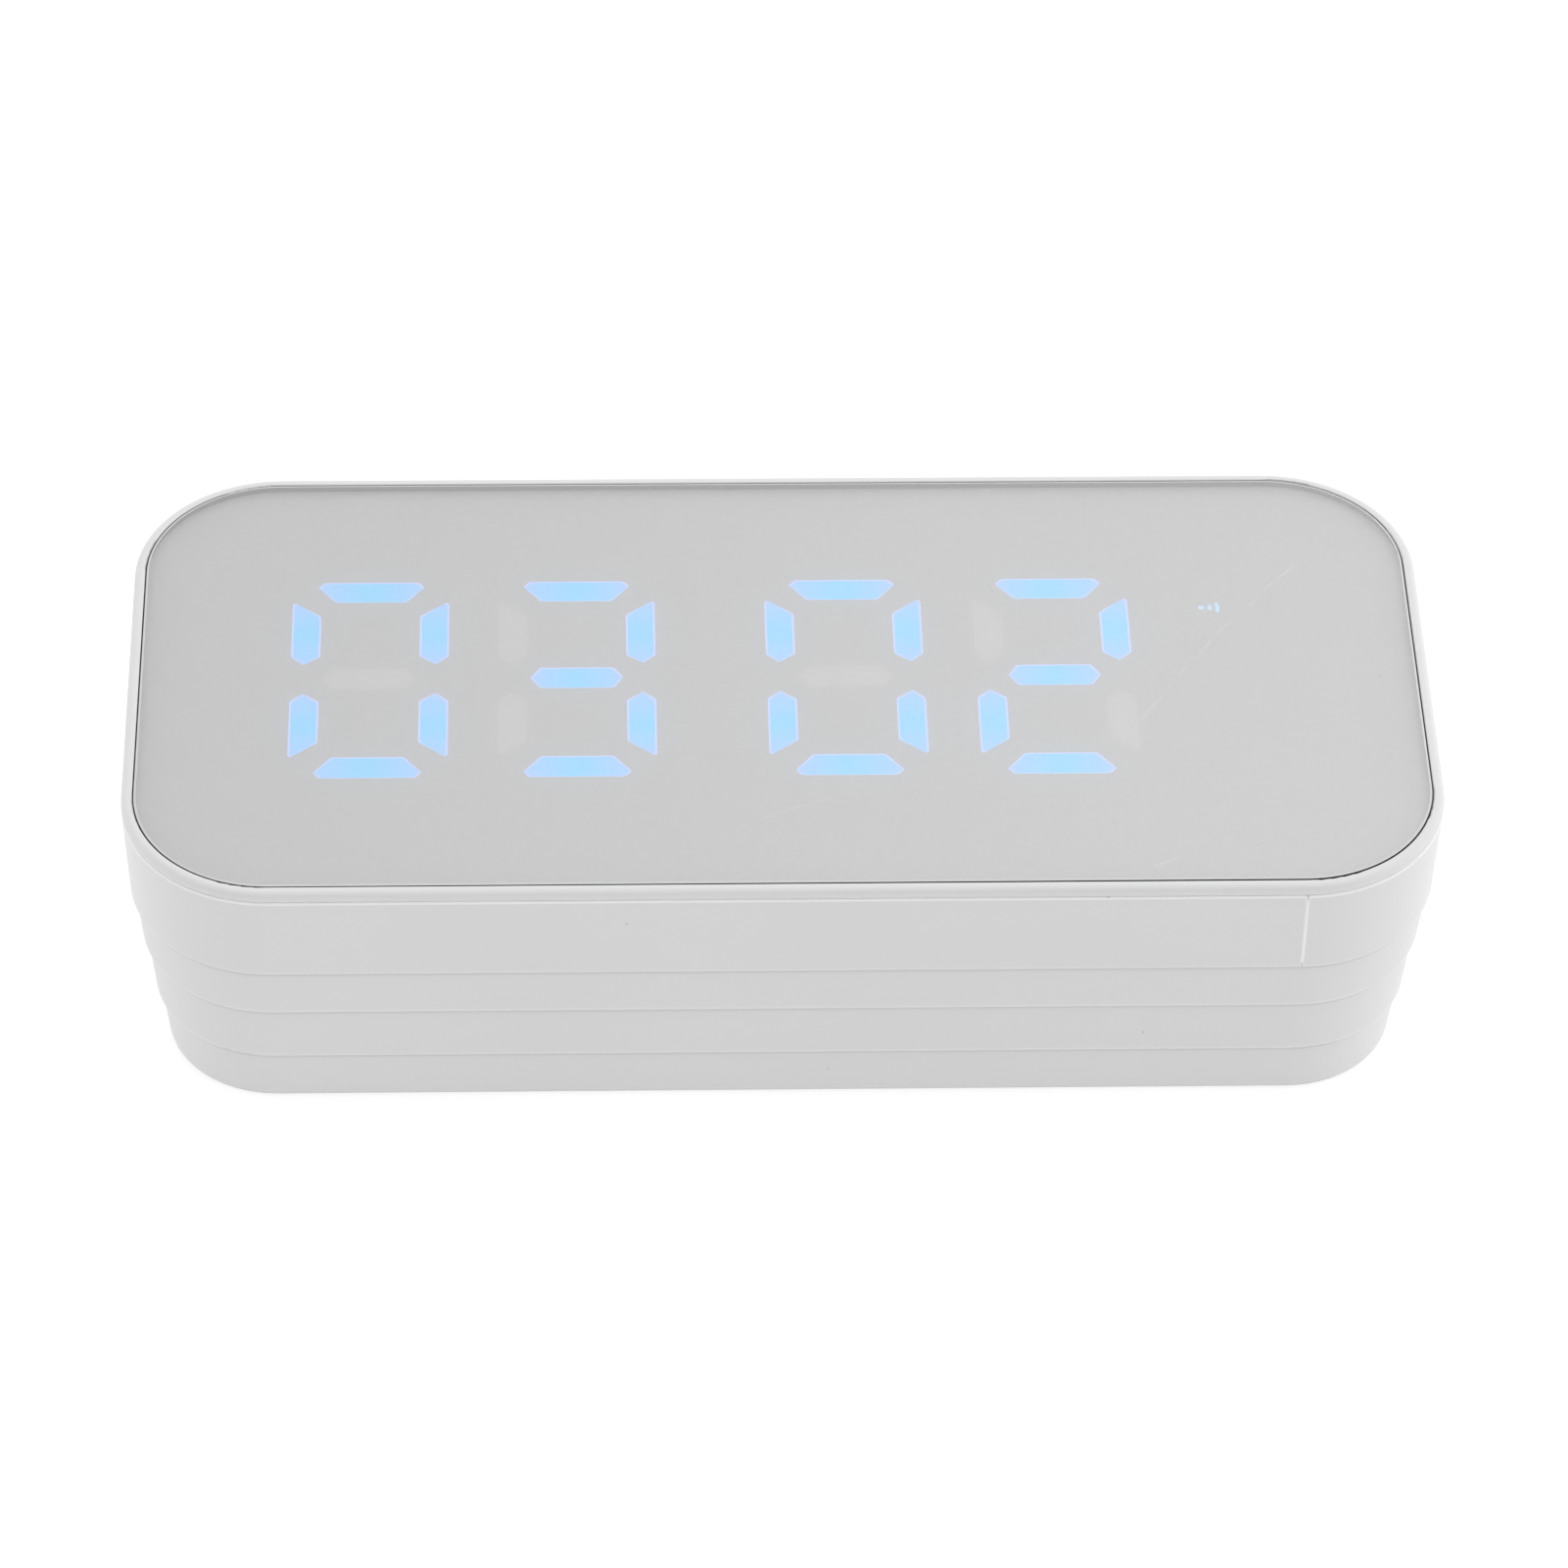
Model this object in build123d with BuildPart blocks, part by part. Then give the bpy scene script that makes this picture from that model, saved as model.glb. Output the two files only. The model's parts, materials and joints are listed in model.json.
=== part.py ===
from build123d import *
import os

# Mirror-face alarm clock lying on its back: X is the width, Y is up the face, Z points out of the
# mirror, and the origin is the middle of the flat back. All sizes are in millimetres.

# Body
width = 152.0
height = 73.1
depth = 36.3
corner_radius = 17.1
wall = 1.75
back_wall = 2.0
back_edge_round = 1.2
step_round = 0.3
belt_front_round = 0.25
shadow_gap = 0.05

# Heights of the rim and of the stepped tiers, from the front of the clock towards its back
rim_seat = depth - 1.31
belt_back = depth - 13.18
second_tier_back = depth - 20.24
third_tier_back = depth - 28.40

# Inset of each tier from the rim's outer edge, at its front and at its back
belt_inset_back = 0.52
second_tier_inset = (0.97, 1.66)
third_tier_inset = (2.11, 2.87)
fourth_tier_inset = (3.32, 4.20)

# Front bezel and mirror
rim_width = 1.30
rim_round = 0.80
rim_lower_round = 0.25
rim_inner_round = 0.20
mirror_gap = 0.12
mirror_thickness = 1.0
mirror_bevel = 0.25
tape_thickness = 0.30
frame_thickness = 1.65
mirror_back = depth - mirror_thickness
pocket_floor = mirror_back - tape_thickness
frame_back = pocket_floor - frame_thickness
tongue_depth = 3.5
tongue_inset = 3.55
tongue_wall = 1.0

# Belt and the housing lip that carries it
belt_inner_inset = 1.70
lip_inset = belt_inner_inset + shadow_gap
lip_wall = 1.50
lip_front = frame_back - shadow_gap
seam_x = 59.05
seam_width = 0.15

# Display
display_x = -2.0
display_y = 1.15
digit_x = (-47.93, -23.70, 7.73, 32.24)
digit_text = "0302"
segments_of = {"0": "abcdef", "2": "abdeg", "3": "abcdg"}
digit_half_width = 9.25
digit_half_height = 17.2
bar_thickness = 3.60
upright_width = 3.45
colon_x = -7.9
colon_y = 5.8
colon_radius = 1.4
indicator_x = 51.2
indicator_y = 11.8
indicator_size = (3.0, 2.0)
light_guide_depth = 1.0
light_guide_gap = 0.05
reflector_size = (116.5, 39.0)
reflector_depth = 6.5
reflector_front = mirror_back - shadow_gap
reflector_back = reflector_front - reflector_depth
window_gap = 0.5
board_thickness = 1.6
display_board_size = (127.0, 40.0)
display_board_back = reflector_back - shadow_gap - board_thickness
display_screw_spacing = (122.5, 33.0)
display_screw_bite = 4.5
display_boss_radius = 2.2
led_size = (2.0, 1.6, 0.7)
indicator_led_width = 1.12
indicator_corner = 0.4

# Screws: shank radius, and the clearance round a shank in its bore
screw_shank = 0.95
bore_clearance = 0.05
screw_head_radius = 1.9
screw_head_height = 1.3
case_screw_shank = 1.25
case_screw_head_radius = 2.4
case_screw_head_height = 2.0
case_screw_spacing = (128.0, 50.0)
case_boss_radius = 3.0
case_column_radius = 3.75
case_recess_radius = 2.75
case_recess_depth = 13.0
case_column_front = 16.0
case_screw_bite = 9.0

# Main board on edge under the top side
main_board_y = 27.4
main_board_length = 116.0
main_board_back = 3.0
main_board_front = frame_back - 1.0
main_board_screw_x = 50.0
main_board_screw_z = 14.0
main_board_boss_radius = 2.6
main_board_boss_length = 4.5
main_board_bore_depth = 5.2
main_board_screw_bite = 3.2
main_board_notch = 1.0

# Top buttons, centred on the belt
button_names = ("power", "previous", "play", "next", "alarm")
button_pitch = 19.0
button_z = (rim_seat + belt_back) / 2
button_size = (11.0, 5.4)
button_clearance = 0.25
button_face = height / 2 + 0.50
button_face_round = 0.45
button_flange_size = (13.0, 7.2)
button_flange = (32.25, 32.85)
plunger_radius = 1.5
plunger_back = 30.40
plunger_clearance = 0.10
tact_switch_size = 6.0
tact_switch_height = 2.25
tact_switch_well = 1.60

# Speaker, facing the back
speaker_x = -36.0
speaker_y = -2.0
speaker_side = 40.0
speaker_screw_spacing = 34.0
speaker_opening = 17.5
seat_ring = (18.0, 19.4)
gasket_back = back_wall + 1.45
speaker_back = gasket_back + 0.55
speaker_flange = 1.2
speaker_boss_radius = 2.4
speaker_bore_back = 0.8
speaker_screw_back = 0.9
pole_radius = 6.2
plate_bore_radius = 7.4
magnet_radius = 12.0
yoke_radius = 13.0
yoke_thickness = 1.5
grille_hole_radius = 1.0
grille_pitch = 3.2
grille_rings = 5
cloth_thickness = 0.3
cloth_inset = 0.2

# Battery
battery_radius = 9.2
battery_length = 65.2
battery_centre = (30.6, -11.5, 12.6)
saddle_x = (10.6, 50.6)
saddle_front = 9.0
saddle_size = (2.0, 16.0)
battery_edge_round = 0.8
foam_size = (30.0, 8.0)

# Sockets on the back edge of the main board: centre along X, width, and height away from the board
usb_x = 28.0
usb_size = (7.8, 2.8, 5.6)
usb_shell = 0.3
usb_tongue_size = (5.0, 0.7, 5.0)
usb_tongue_back = 0.4
jack_x = 43.0
jack_size = (6.4, 5.2, 12.0)
jack_bore = 1.8
jack_end_wall = 1.0
jack_opening_clearance = 0.7
card_x = 12.0
card_size = (12.4, 1.7, 14.0)
card_slot_size = (11.2, 0.9, 13.0)
card_slot_lift = 0.25
wire_socket_x = (-26.0, -1.5)
wire_socket_size = (5.0, 4.15, 4.0)
wire_socket_back = 6.0
capacitor_place = (-36.0, 16.0)
capacitor_pitch = 7.0
capacitor_radius = 2.5
capacitor_height = 4.4
slide_switch_x = -9.0
slide_switch_size = (9.0, 3.6, 3.6)
slide_switch_gap = 0.9
slide_slot_clearance = (0.4, 0.2)
slide_slot_depth = 2.0
slide_knob_size = (2.0, 1.6)
slide_knob_back = 0.6
slide_knob_bite = 1.6
slide_window = (6.4, 2.6)
slide_travel = 2.0
socket_back = back_wall + 0.10
port_clearance = 0.35


def save(piece, name):
    """Label a finished piece and write it as a STEP file."""
    piece.part.label = name
    export_step(piece.part, f"parts/{name}.step")


def outline(z, inset):
    """Rounded-rectangle section of the body at height z, inset from the rim's outer edge."""
    with BuildSketch(Plane.XY.offset(z)) as section:
        RectangleRounded(width - 2 * inset, height - 2 * inset, corner_radius - inset)
    return section.sketch


def tapered(z_front, inset_front, z_back, inset_back, mode=Mode.ADD):
    """Block between two body sections."""
    loft([outline(z_back, inset_back), outline(z_front, inset_front)], mode=mode)


def straight(z_back, z_front, inset, mode=Mode.ADD):
    """Block with the same body section all the way."""
    extrude(outline(z_back, inset), amount=z_front - z_back, mode=mode)


def side_plane(y, x=0.0, z=0.0):
    """Plane facing the bottom side at height y up the face, with local Y along the clock's Z."""
    return Plane(origin=(x, y, z), x_dir=(1, 0, 0), z_dir=(0, -1, 0))


def pill(y, x, size, grow=0.0):
    """Pill-shaped sketch of a top button, on the plane at height y."""
    with BuildSketch(side_plane(y, x, button_z)) as section:
        SlotOverall(size[0] + 2 * grow, size[1] + 2 * grow)
    return section.sketch


def button_places():
    """X position of every top button."""
    middle = (len(button_names) - 1) / 2
    return [(i - middle) * button_pitch for i in range(len(button_names))]


def cut_button_openings():
    """Openings through the top side for the buttons."""
    for x in button_places():
        extrude(pill(height / 2, x, button_size, button_clearance), amount=5.0, mode=Mode.SUBTRACT)


def block(x, y, z, size, mode=Mode.ADD):
    """Box from its lowest Y and Z, centred along X."""
    with Locations((x, y, z)):
        Box(*size, align=(Align.CENTER, Align.MIN, Align.MIN), mode=mode)


def bar_points(segment):
    """Corners of one display bar, measured from the middle of its digit."""
    outer = digit_half_height
    inner = outer - bar_thickness
    edge = digit_half_width
    inside = edge - upright_width
    half_middle = bar_thickness / 2
    if segment == "g":
        right = [(4.35, -half_middle), (5.45, 0.0), (4.35, half_middle)]
        return right + [(-x, y) for x, y in reversed(right)]
    if segment in "ad":
        right = [(4.2, inner), (6.3, outer - 0.9), (5.55, outer)]
        points = right + [(-x, y) for x, y in reversed(right)]
    else:
        points = [
            (edge, 3.9),
            (edge, 13.35),
            (edge - 0.35, 13.55),
            (inside, 11.1),
            (inside, 3.95),
            (edge - 1.5, 2.5),
        ]
    flip_x = -1 if segment in "ef" else 1
    flip_y = -1 if segment in "cde" else 1
    return [(flip_x * x, flip_y * y) for x, y in points]


def bar_outline(z, digit, segment, shrink):
    """Sketch of one display bar at height z."""
    with BuildSketch(Plane.XY.offset(z)) as section:
        with Locations((digit_x[digit], display_y)):
            Polygon(*bar_points(segment))
        if shrink:
            offset(amount=-shrink, kind=Kind.INTERSECTION)
    return section.sketch


def colon_outline(z, shrink):
    """Sketch of the two colon dots at height z."""
    with BuildSketch(Plane.XY.offset(z)) as section:
        with Locations((colon_x, display_y + colon_y), (colon_x, display_y - colon_y)):
            Circle(colon_radius - shrink)
    return section.sketch


def indicator_outline(z, shrink):
    """Sketch of the small indicator window at height z."""
    with BuildSketch(Plane.XY.offset(z)) as section:
        with Locations((indicator_x, display_y + indicator_y)):
            RectangleRounded(indicator_size[0] - 2 * shrink, indicator_size[1] - 2 * shrink, indicator_corner)
    return section.sketch


def speaker_profile(points):
    """Revolved piece of the speaker, from (radius, height) points of its section."""
    with BuildSketch(side_plane(speaker_y, speaker_x)) as section:
        with BuildLine():
            Polyline(*points, close=True)
        make_face()
    revolve(section.sketch, axis=Axis((speaker_x, speaker_y, 0), (0, 0, 1)))


def round_lead(points, radius, bend):
    """Insulated lead along straight runs joined by arcs."""
    with BuildLine() as path:
        FilletPolyline(*points, radius=bend)
    route = path.wire()
    with BuildSketch(Plane(origin=route @ 0, z_dir=route % 0)) as section:
        Circle(radius)
    sweep(section.sketch, path=route)


os.makedirs("parts", exist_ok=True)

# ---- Front bezel: rim, frame plate behind the mirror, tongue inside the housing lip, bosses ----
with BuildPart() as front_bezel:
    straight(rim_seat, depth, 0.0)
    fillet(front_bezel.faces().sort_by(Axis.Z)[-1].edges(), radius=rim_round)
    fillet(front_bezel.faces().sort_by(Axis.Z)[0].edges(), radius=rim_lower_round)
    straight(frame_back, rim_seat, lip_inset)
    straight(frame_back - tongue_depth, frame_back, tongue_inset)
    straight(frame_back - tongue_depth, frame_back, tongue_inset + tongue_wall, mode=Mode.SUBTRACT)
    straight(pocket_floor, depth, rim_width, mode=Mode.SUBTRACT)
    fillet(
        front_bezel.faces().sort_by(Axis.Z)[-1].inner_wires()[0].edges(),
        radius=rim_inner_round,
    )
    with BuildSketch(Plane.XY.offset(frame_back)):
        with Locations((display_x, display_y)):
            RectangleRounded(reflector_size[0] + 2 * window_gap, reflector_size[1] + 2 * window_gap, 1.5)
    extrude(amount=frame_thickness, mode=Mode.SUBTRACT)
    block(
        0,
        main_board_y - main_board_notch,
        frame_back - tongue_depth,
        (main_board_length + 4.0, height / 2, tongue_depth),
        mode=Mode.SUBTRACT,
    )
    with BuildSketch(Plane.XY.offset(display_board_back + board_thickness + shadow_gap)):
        with Locations((display_x, display_y)):
            with GridLocations(*display_screw_spacing, 2, 2):
                Circle(display_boss_radius)
    extrude(amount=frame_back - display_board_back - board_thickness)
    with BuildSketch(Plane.XY.offset(case_column_front + shadow_gap)):
        with GridLocations(*case_screw_spacing, 2, 2):
            Circle(case_boss_radius)
    extrude(amount=frame_back - case_column_front)
    with BuildSketch(Plane.XY.offset(display_board_back + board_thickness)):
        with Locations((display_x, display_y)):
            with GridLocations(*display_screw_spacing, 2, 2):
                Circle(screw_shank + bore_clearance)
    extrude(amount=5.0, mode=Mode.SUBTRACT)
    with BuildSketch(Plane.XY.offset(case_column_front)):
        with GridLocations(*case_screw_spacing, 2, 2):
            Circle(case_screw_shank + bore_clearance)
    extrude(amount=case_screw_bite + 1.0, mode=Mode.SUBTRACT)
save(front_bezel, "front_bezel")

# ---- Mirror panel and the adhesive frame that holds it ----
with BuildPart() as mirror_panel:
    straight(mirror_back, depth, rim_width + mirror_gap)
    chamfer(mirror_panel.faces().sort_by(Axis.Z)[-1].edges(), length=mirror_bevel)
save(mirror_panel, "mirror_panel")

with BuildPart() as mirror_tape:
    straight(pocket_floor, mirror_back, rim_width + 0.4)
    with BuildSketch(Plane.XY.offset(pocket_floor)):
        with Locations((display_x, display_y)):
            RectangleRounded(reflector_size[0] + 4 * window_gap, reflector_size[1] + 4 * window_gap, 2.0)
    extrude(amount=tape_thickness, mode=Mode.SUBTRACT)
save(mirror_tape, "mirror_tape")

# ---- Trim belt: the tallest side tier, closed by one seam on the bottom side ----
with BuildPart() as trim_belt:
    tapered(rim_seat - shadow_gap, 0.0, belt_back + shadow_gap, belt_inset_back)
    fillet(trim_belt.faces().sort_by(Axis.Z)[-1].edges(), radius=belt_front_round)
    fillet(trim_belt.faces().sort_by(Axis.Z)[0].edges(), radius=step_round)
    straight(belt_back, rim_seat, belt_inner_inset, mode=Mode.SUBTRACT)
    cut_button_openings()
    block(seam_x, -height / 2 - 1.0, belt_back, (seam_width, 4.0, rim_seat - belt_back), mode=Mode.SUBTRACT)
save(trim_belt, "trim_belt")

# ---- Rear housing: three stepped tiers, the lip under the belt and the perforated back ----
with BuildPart() as rear_housing:
    tapered(belt_back, second_tier_inset[0], second_tier_back, second_tier_inset[1])
    fillet(rear_housing.faces().sort_by(Axis.Z)[0].edges(), radius=step_round)
    tapered(second_tier_back, third_tier_inset[0], third_tier_back, third_tier_inset[1])
    fillet(rear_housing.faces().sort_by(Axis.Z)[0].edges(), radius=step_round)
    tapered(third_tier_back, fourth_tier_inset[0], 0.0, fourth_tier_inset[1])
    fillet(rear_housing.faces().sort_by(Axis.Z)[0].edges(), radius=back_edge_round)
    straight(belt_back, lip_front, lip_inset)
    inner_front = lip_inset + lip_wall
    inner_second = third_tier_inset[0] + wall
    inner_third = fourth_tier_inset[0] + wall
    inner_back = fourth_tier_inset[1] + wall
    tapered(lip_front, inner_front, second_tier_back, inner_second, mode=Mode.SUBTRACT)
    tapered(second_tier_back, inner_second, third_tier_back, inner_third, mode=Mode.SUBTRACT)
    tapered(third_tier_back, inner_third, back_wall, inner_back, mode=Mode.SUBTRACT)
    cut_button_openings()

    # Columns for the case screws
    with BuildSketch(Plane.XY.offset(back_wall)):
        with GridLocations(*case_screw_spacing, 2, 2):
            Circle(case_column_radius)
    extrude(amount=case_column_front - back_wall)
    with BuildSketch(Plane.XY):
        with GridLocations(*case_screw_spacing, 2, 2):
            Circle(case_recess_radius)
    extrude(amount=case_recess_depth, mode=Mode.SUBTRACT)
    with BuildSketch(Plane.XY):
        with GridLocations(*case_screw_spacing, 2, 2):
            Circle(case_screw_shank + 2 * bore_clearance)
    extrude(amount=case_column_front, mode=Mode.SUBTRACT)

    # Bosses under the top side for the main board
    with BuildSketch(side_plane(main_board_y + board_thickness + shadow_gap, 0.0, main_board_screw_z)):
        with GridLocations(2 * main_board_screw_x, 1.0, 2, 1):
            Circle(main_board_boss_radius)
    extrude(amount=-main_board_boss_length)
    with BuildSketch(side_plane(main_board_y, 0.0, main_board_screw_z)):
        with GridLocations(2 * main_board_screw_x, 1.0, 2, 1):
            Circle(screw_shank + bore_clearance)
    extrude(amount=-main_board_bore_depth, mode=Mode.SUBTRACT)

    # Speaker seat, speaker bosses and grille holes
    with BuildSketch(Plane.XY.offset(back_wall)):
        with Locations((speaker_x, speaker_y)):
            Circle(seat_ring[1])
            Circle(seat_ring[0], mode=Mode.SUBTRACT)
            with GridLocations(speaker_screw_spacing, speaker_screw_spacing, 2, 2):
                Circle(speaker_boss_radius)
    extrude(amount=gasket_back - back_wall - shadow_gap)
    with BuildSketch(Plane.XY.offset(speaker_bore_back)):
        with Locations((speaker_x, speaker_y)):
            with GridLocations(speaker_screw_spacing, speaker_screw_spacing, 2, 2):
                Circle(screw_shank + bore_clearance)
    extrude(amount=gasket_back, mode=Mode.SUBTRACT)
    with BuildSketch(Plane.XY):
        with Locations((speaker_x, speaker_y)):
            Circle(grille_hole_radius)
            for ring in range(1, grille_rings + 1):
                with PolarLocations(ring * grille_pitch, 6 * ring):
                    Circle(grille_hole_radius)
    extrude(amount=back_wall, mode=Mode.SUBTRACT)

    # Saddles for the battery
    for x in saddle_x:
        saddle_y = battery_centre[1] - saddle_size[1] / 2
        block(x, saddle_y, back_wall, (*saddle_size, saddle_front - back_wall))
    with BuildSketch(Plane(origin=battery_centre, z_dir=(1, 0, 0))):
        Circle(battery_radius + shadow_gap)
    extrude(amount=battery_length / 2, both=True, mode=Mode.SUBTRACT)

    # Openings in the back for the sockets and the slide switch
    for x, size in ((usb_x, usb_size), (card_x, card_size)):
        block(
            x,
            main_board_y - size[1] - port_clearance,
            0.0,
            (size[0] + 2 * port_clearance, size[1] + port_clearance, back_wall),
            mode=Mode.SUBTRACT,
        )
    with BuildSketch(Plane.XY):
        with Locations((jack_x, main_board_y - shadow_gap - jack_size[1] / 2)):
            Circle(jack_bore + jack_opening_clearance)
    extrude(amount=back_wall, mode=Mode.SUBTRACT)
    block(
        slide_switch_x,
        main_board_y - slide_switch_size[1] / 2 - slide_window[1] / 2,
        0.0,
        (slide_window[0], slide_window[1], back_wall),
        mode=Mode.SUBTRACT,
    )
save(rear_housing, "rear_housing")

# ---- Display: reflector with a light well behind every bar, light guides, board and chips ----
with BuildPart() as display_reflector:
    with BuildSketch(Plane.XY.offset(reflector_back)):
        with Locations((display_x, display_y)):
            RectangleRounded(*reflector_size, 1.0)
    extrude(amount=reflector_depth)
    for digit in range(len(digit_text)):
        for segment in "abcdefg":
            well = bar_outline(reflector_back, digit, segment, 0.0)
            extrude(well, amount=reflector_depth, mode=Mode.SUBTRACT)
    extrude(colon_outline(reflector_back, 0.0), amount=reflector_depth, mode=Mode.SUBTRACT)
    extrude(indicator_outline(reflector_back, 0.0), amount=reflector_depth, mode=Mode.SUBTRACT)
save(display_reflector, "display_reflector")

guide_back = reflector_front - light_guide_depth
for digit, text in enumerate(digit_text):
    for state, lit in (("lit", True), ("dark", False)):
        with BuildPart() as light_guides:
            for segment in "abcdefg":
                if (segment in segments_of[text]) == lit:
                    extrude(
                        bar_outline(guide_back, digit, segment, light_guide_gap),
                        amount=light_guide_depth,
                    )
        save(light_guides, f"digit_{digit + 1}_{state}_segments")

with BuildPart() as colon_dots:
    extrude(colon_outline(guide_back, light_guide_gap), amount=light_guide_depth)
save(colon_dots, "colon_dots")

with BuildPart() as indicator_light:
    extrude(indicator_outline(guide_back, light_guide_gap), amount=light_guide_depth)
save(indicator_light, "indicator_light")

with BuildPart() as display_board:
    with BuildSketch(Plane.XY.offset(display_board_back)):
        with Locations((display_x, display_y)):
            RectangleRounded(*display_board_size, 1.5)
            with GridLocations(*display_screw_spacing, 2, 2):
                Circle(screw_shank + 2 * bore_clearance, mode=Mode.SUBTRACT)
    extrude(amount=board_thickness)
save(display_board, "display_board")

bar_centres = {
    "a": (0.0, digit_half_height - bar_thickness / 2),
    "d": (0.0, bar_thickness / 2 - digit_half_height),
    "g": (0.0, 0.0),
    "b": (digit_half_width - upright_width / 2, 8.0),
    "c": (digit_half_width - upright_width / 2, -8.0),
    "e": (upright_width / 2 - digit_half_width, -8.0),
    "f": (upright_width / 2 - digit_half_width, 8.0),
}
led_places = [(x + dx, display_y + dy) for x in digit_x for dx, dy in bar_centres.values()]
led_places += [(colon_x, display_y + colon_y), (colon_x, display_y - colon_y)]
with BuildPart() as led_chips:
    with BuildSketch(Plane.XY.offset(reflector_back)):
        with Locations(*led_places):
            Rectangle(led_size[0], led_size[1])
        with Locations((indicator_x, display_y + indicator_y)):
            Rectangle(led_size[0], indicator_led_width)
    extrude(amount=led_size[2])
save(led_chips, "led_chips")

with BuildPart() as display_screws:
    with BuildSketch(Plane.XY.offset(display_board_back)):
        with Locations((display_x, display_y)):
            with GridLocations(*display_screw_spacing, 2, 2):
                Circle(screw_shank)
    extrude(amount=board_thickness + display_screw_bite)
    with BuildSketch(Plane.XY.offset(display_board_back)):
        with Locations((display_x, display_y)):
            with GridLocations(*display_screw_spacing, 2, 2):
                Circle(screw_head_radius)
    extrude(amount=-screw_head_height)
    chamfer(display_screws.faces().group_by(Axis.Z)[0].edges(), length=0.3)
save(display_screws, "display_screws")

# ---- Main board with its chips ----
board_front_y = main_board_y + board_thickness
with BuildPart() as main_board:
    block(
        0,
        main_board_y,
        main_board_back,
        (main_board_length, board_thickness, main_board_front - main_board_back),
    )
    with BuildSketch(side_plane(board_front_y, 0.0, main_board_screw_z)):
        with GridLocations(2 * main_board_screw_x, 1.0, 2, 1):
            Circle(screw_shank + 2 * bore_clearance)
    extrude(amount=board_thickness, mode=Mode.SUBTRACT)
save(main_board, "main_board")

with BuildPart() as main_board_screws:
    with BuildSketch(side_plane(main_board_y, 0.0, main_board_screw_z)):
        with GridLocations(2 * main_board_screw_x, 1.0, 2, 1):
            Circle(screw_shank)
    extrude(amount=-(board_thickness + main_board_screw_bite))
    with BuildSketch(side_plane(main_board_y, 0.0, main_board_screw_z)):
        with GridLocations(2 * main_board_screw_x, 1.0, 2, 1):
            Circle(screw_head_radius)
    extrude(amount=screw_head_height)
save(main_board_screws, "main_board_screws")

chips = {
    "processor_chip": (24.0, 17.5, (9.0, 1.4, 9.0)),
    "amplifier_chip": (-16.0, 8.0, (5.0, 1.5, 4.0)),
    "radio_module": (-6.0, 13.0, (14.0, 1.8, 9.0)),
}
for name, (x, z, size) in chips.items():
    with BuildPart() as chip:
        block(x, main_board_y - size[1] - shadow_gap, z, size)
        chamfer(chip.edges().filter_by(Axis.Y), length=0.3)
    save(chip, name)

with BuildPart() as board_capacitors:
    with BuildSketch(side_plane(main_board_y - shadow_gap, *capacitor_place)):
        with GridLocations(capacitor_pitch, 1.0, 2, 1):
            Circle(capacitor_radius)
    extrude(amount=capacitor_height)
    fillet(board_capacitors.faces().group_by(Axis.Y)[0].edges(), radius=0.4)
save(board_capacitors, "board_capacitors")

# ---- Sockets on the back edge of the main board ----
with BuildPart() as usb_socket:
    block(usb_x, main_board_y - usb_size[1] - shadow_gap, socket_back, usb_size)
    fillet(usb_socket.edges().filter_by(Axis.Z), radius=0.5)
    socket_mouth = usb_socket.faces().sort_by(Axis.Z)[0]
    offset(amount=-usb_shell, openings=socket_mouth)
    tongue_y = main_board_y - (usb_size[1] + usb_tongue_size[1]) / 2
    block(usb_x, tongue_y, socket_back + usb_tongue_back, usb_tongue_size)
save(usb_socket, "usb_socket")

with BuildPart() as audio_jack:
    block(jack_x, main_board_y - jack_size[1] - shadow_gap, socket_back, jack_size)
    with BuildSketch(Plane.XY.offset(socket_back)):
        with Locations((jack_x, main_board_y - shadow_gap - jack_size[1] / 2)):
            Circle(jack_bore)
    extrude(amount=jack_size[2] - jack_end_wall, mode=Mode.SUBTRACT)
save(audio_jack, "audio_jack")

with BuildPart() as card_socket:
    block(card_x, main_board_y - card_size[1] - shadow_gap, socket_back, card_size)
    block(
        card_x,
        main_board_y - card_size[1] + card_slot_lift,
        socket_back,
        card_slot_size,
        mode=Mode.SUBTRACT,
    )
save(card_socket, "card_socket")

with BuildPart() as wire_sockets:
    for x in wire_socket_x:
        block(x, main_board_y - wire_socket_size[1] - shadow_gap, wire_socket_back, wire_socket_size)
save(wire_sockets, "wire_sockets")

# ---- Power slide switch: fixed body, and a knob that slides along X in the back's window ----
slide_y = main_board_y - slide_switch_size[1] / 2
slide_body_back = back_wall + slide_switch_gap
with BuildPart() as power_switch_body:
    block(
        slide_switch_x,
        main_board_y - slide_switch_size[1] - shadow_gap,
        slide_body_back,
        slide_switch_size,
    )
    block(
        slide_switch_x,
        slide_y - slide_knob_size[1] / 2 - slide_slot_clearance[1],
        slide_body_back,
        (
            slide_knob_size[0] + slide_travel + 2 * slide_slot_clearance[0],
            slide_knob_size[1] + 2 * slide_slot_clearance[1],
            slide_slot_depth,
        ),
        mode=Mode.SUBTRACT,
    )
save(power_switch_body, "power_switch_body")

with BuildPart() as power_switch_knob:
    knob_x = slide_switch_x - slide_travel / 2
    block(
        knob_x,
        slide_y - slide_knob_size[1] / 2,
        slide_knob_back,
        (slide_knob_size[0], slide_knob_size[1], slide_body_back + slide_knob_bite - slide_knob_back),
    )
    fillet(power_switch_knob.faces().sort_by(Axis.Z)[0].edges(), radius=0.3)
save(power_switch_knob, "power_switch_knob")

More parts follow.
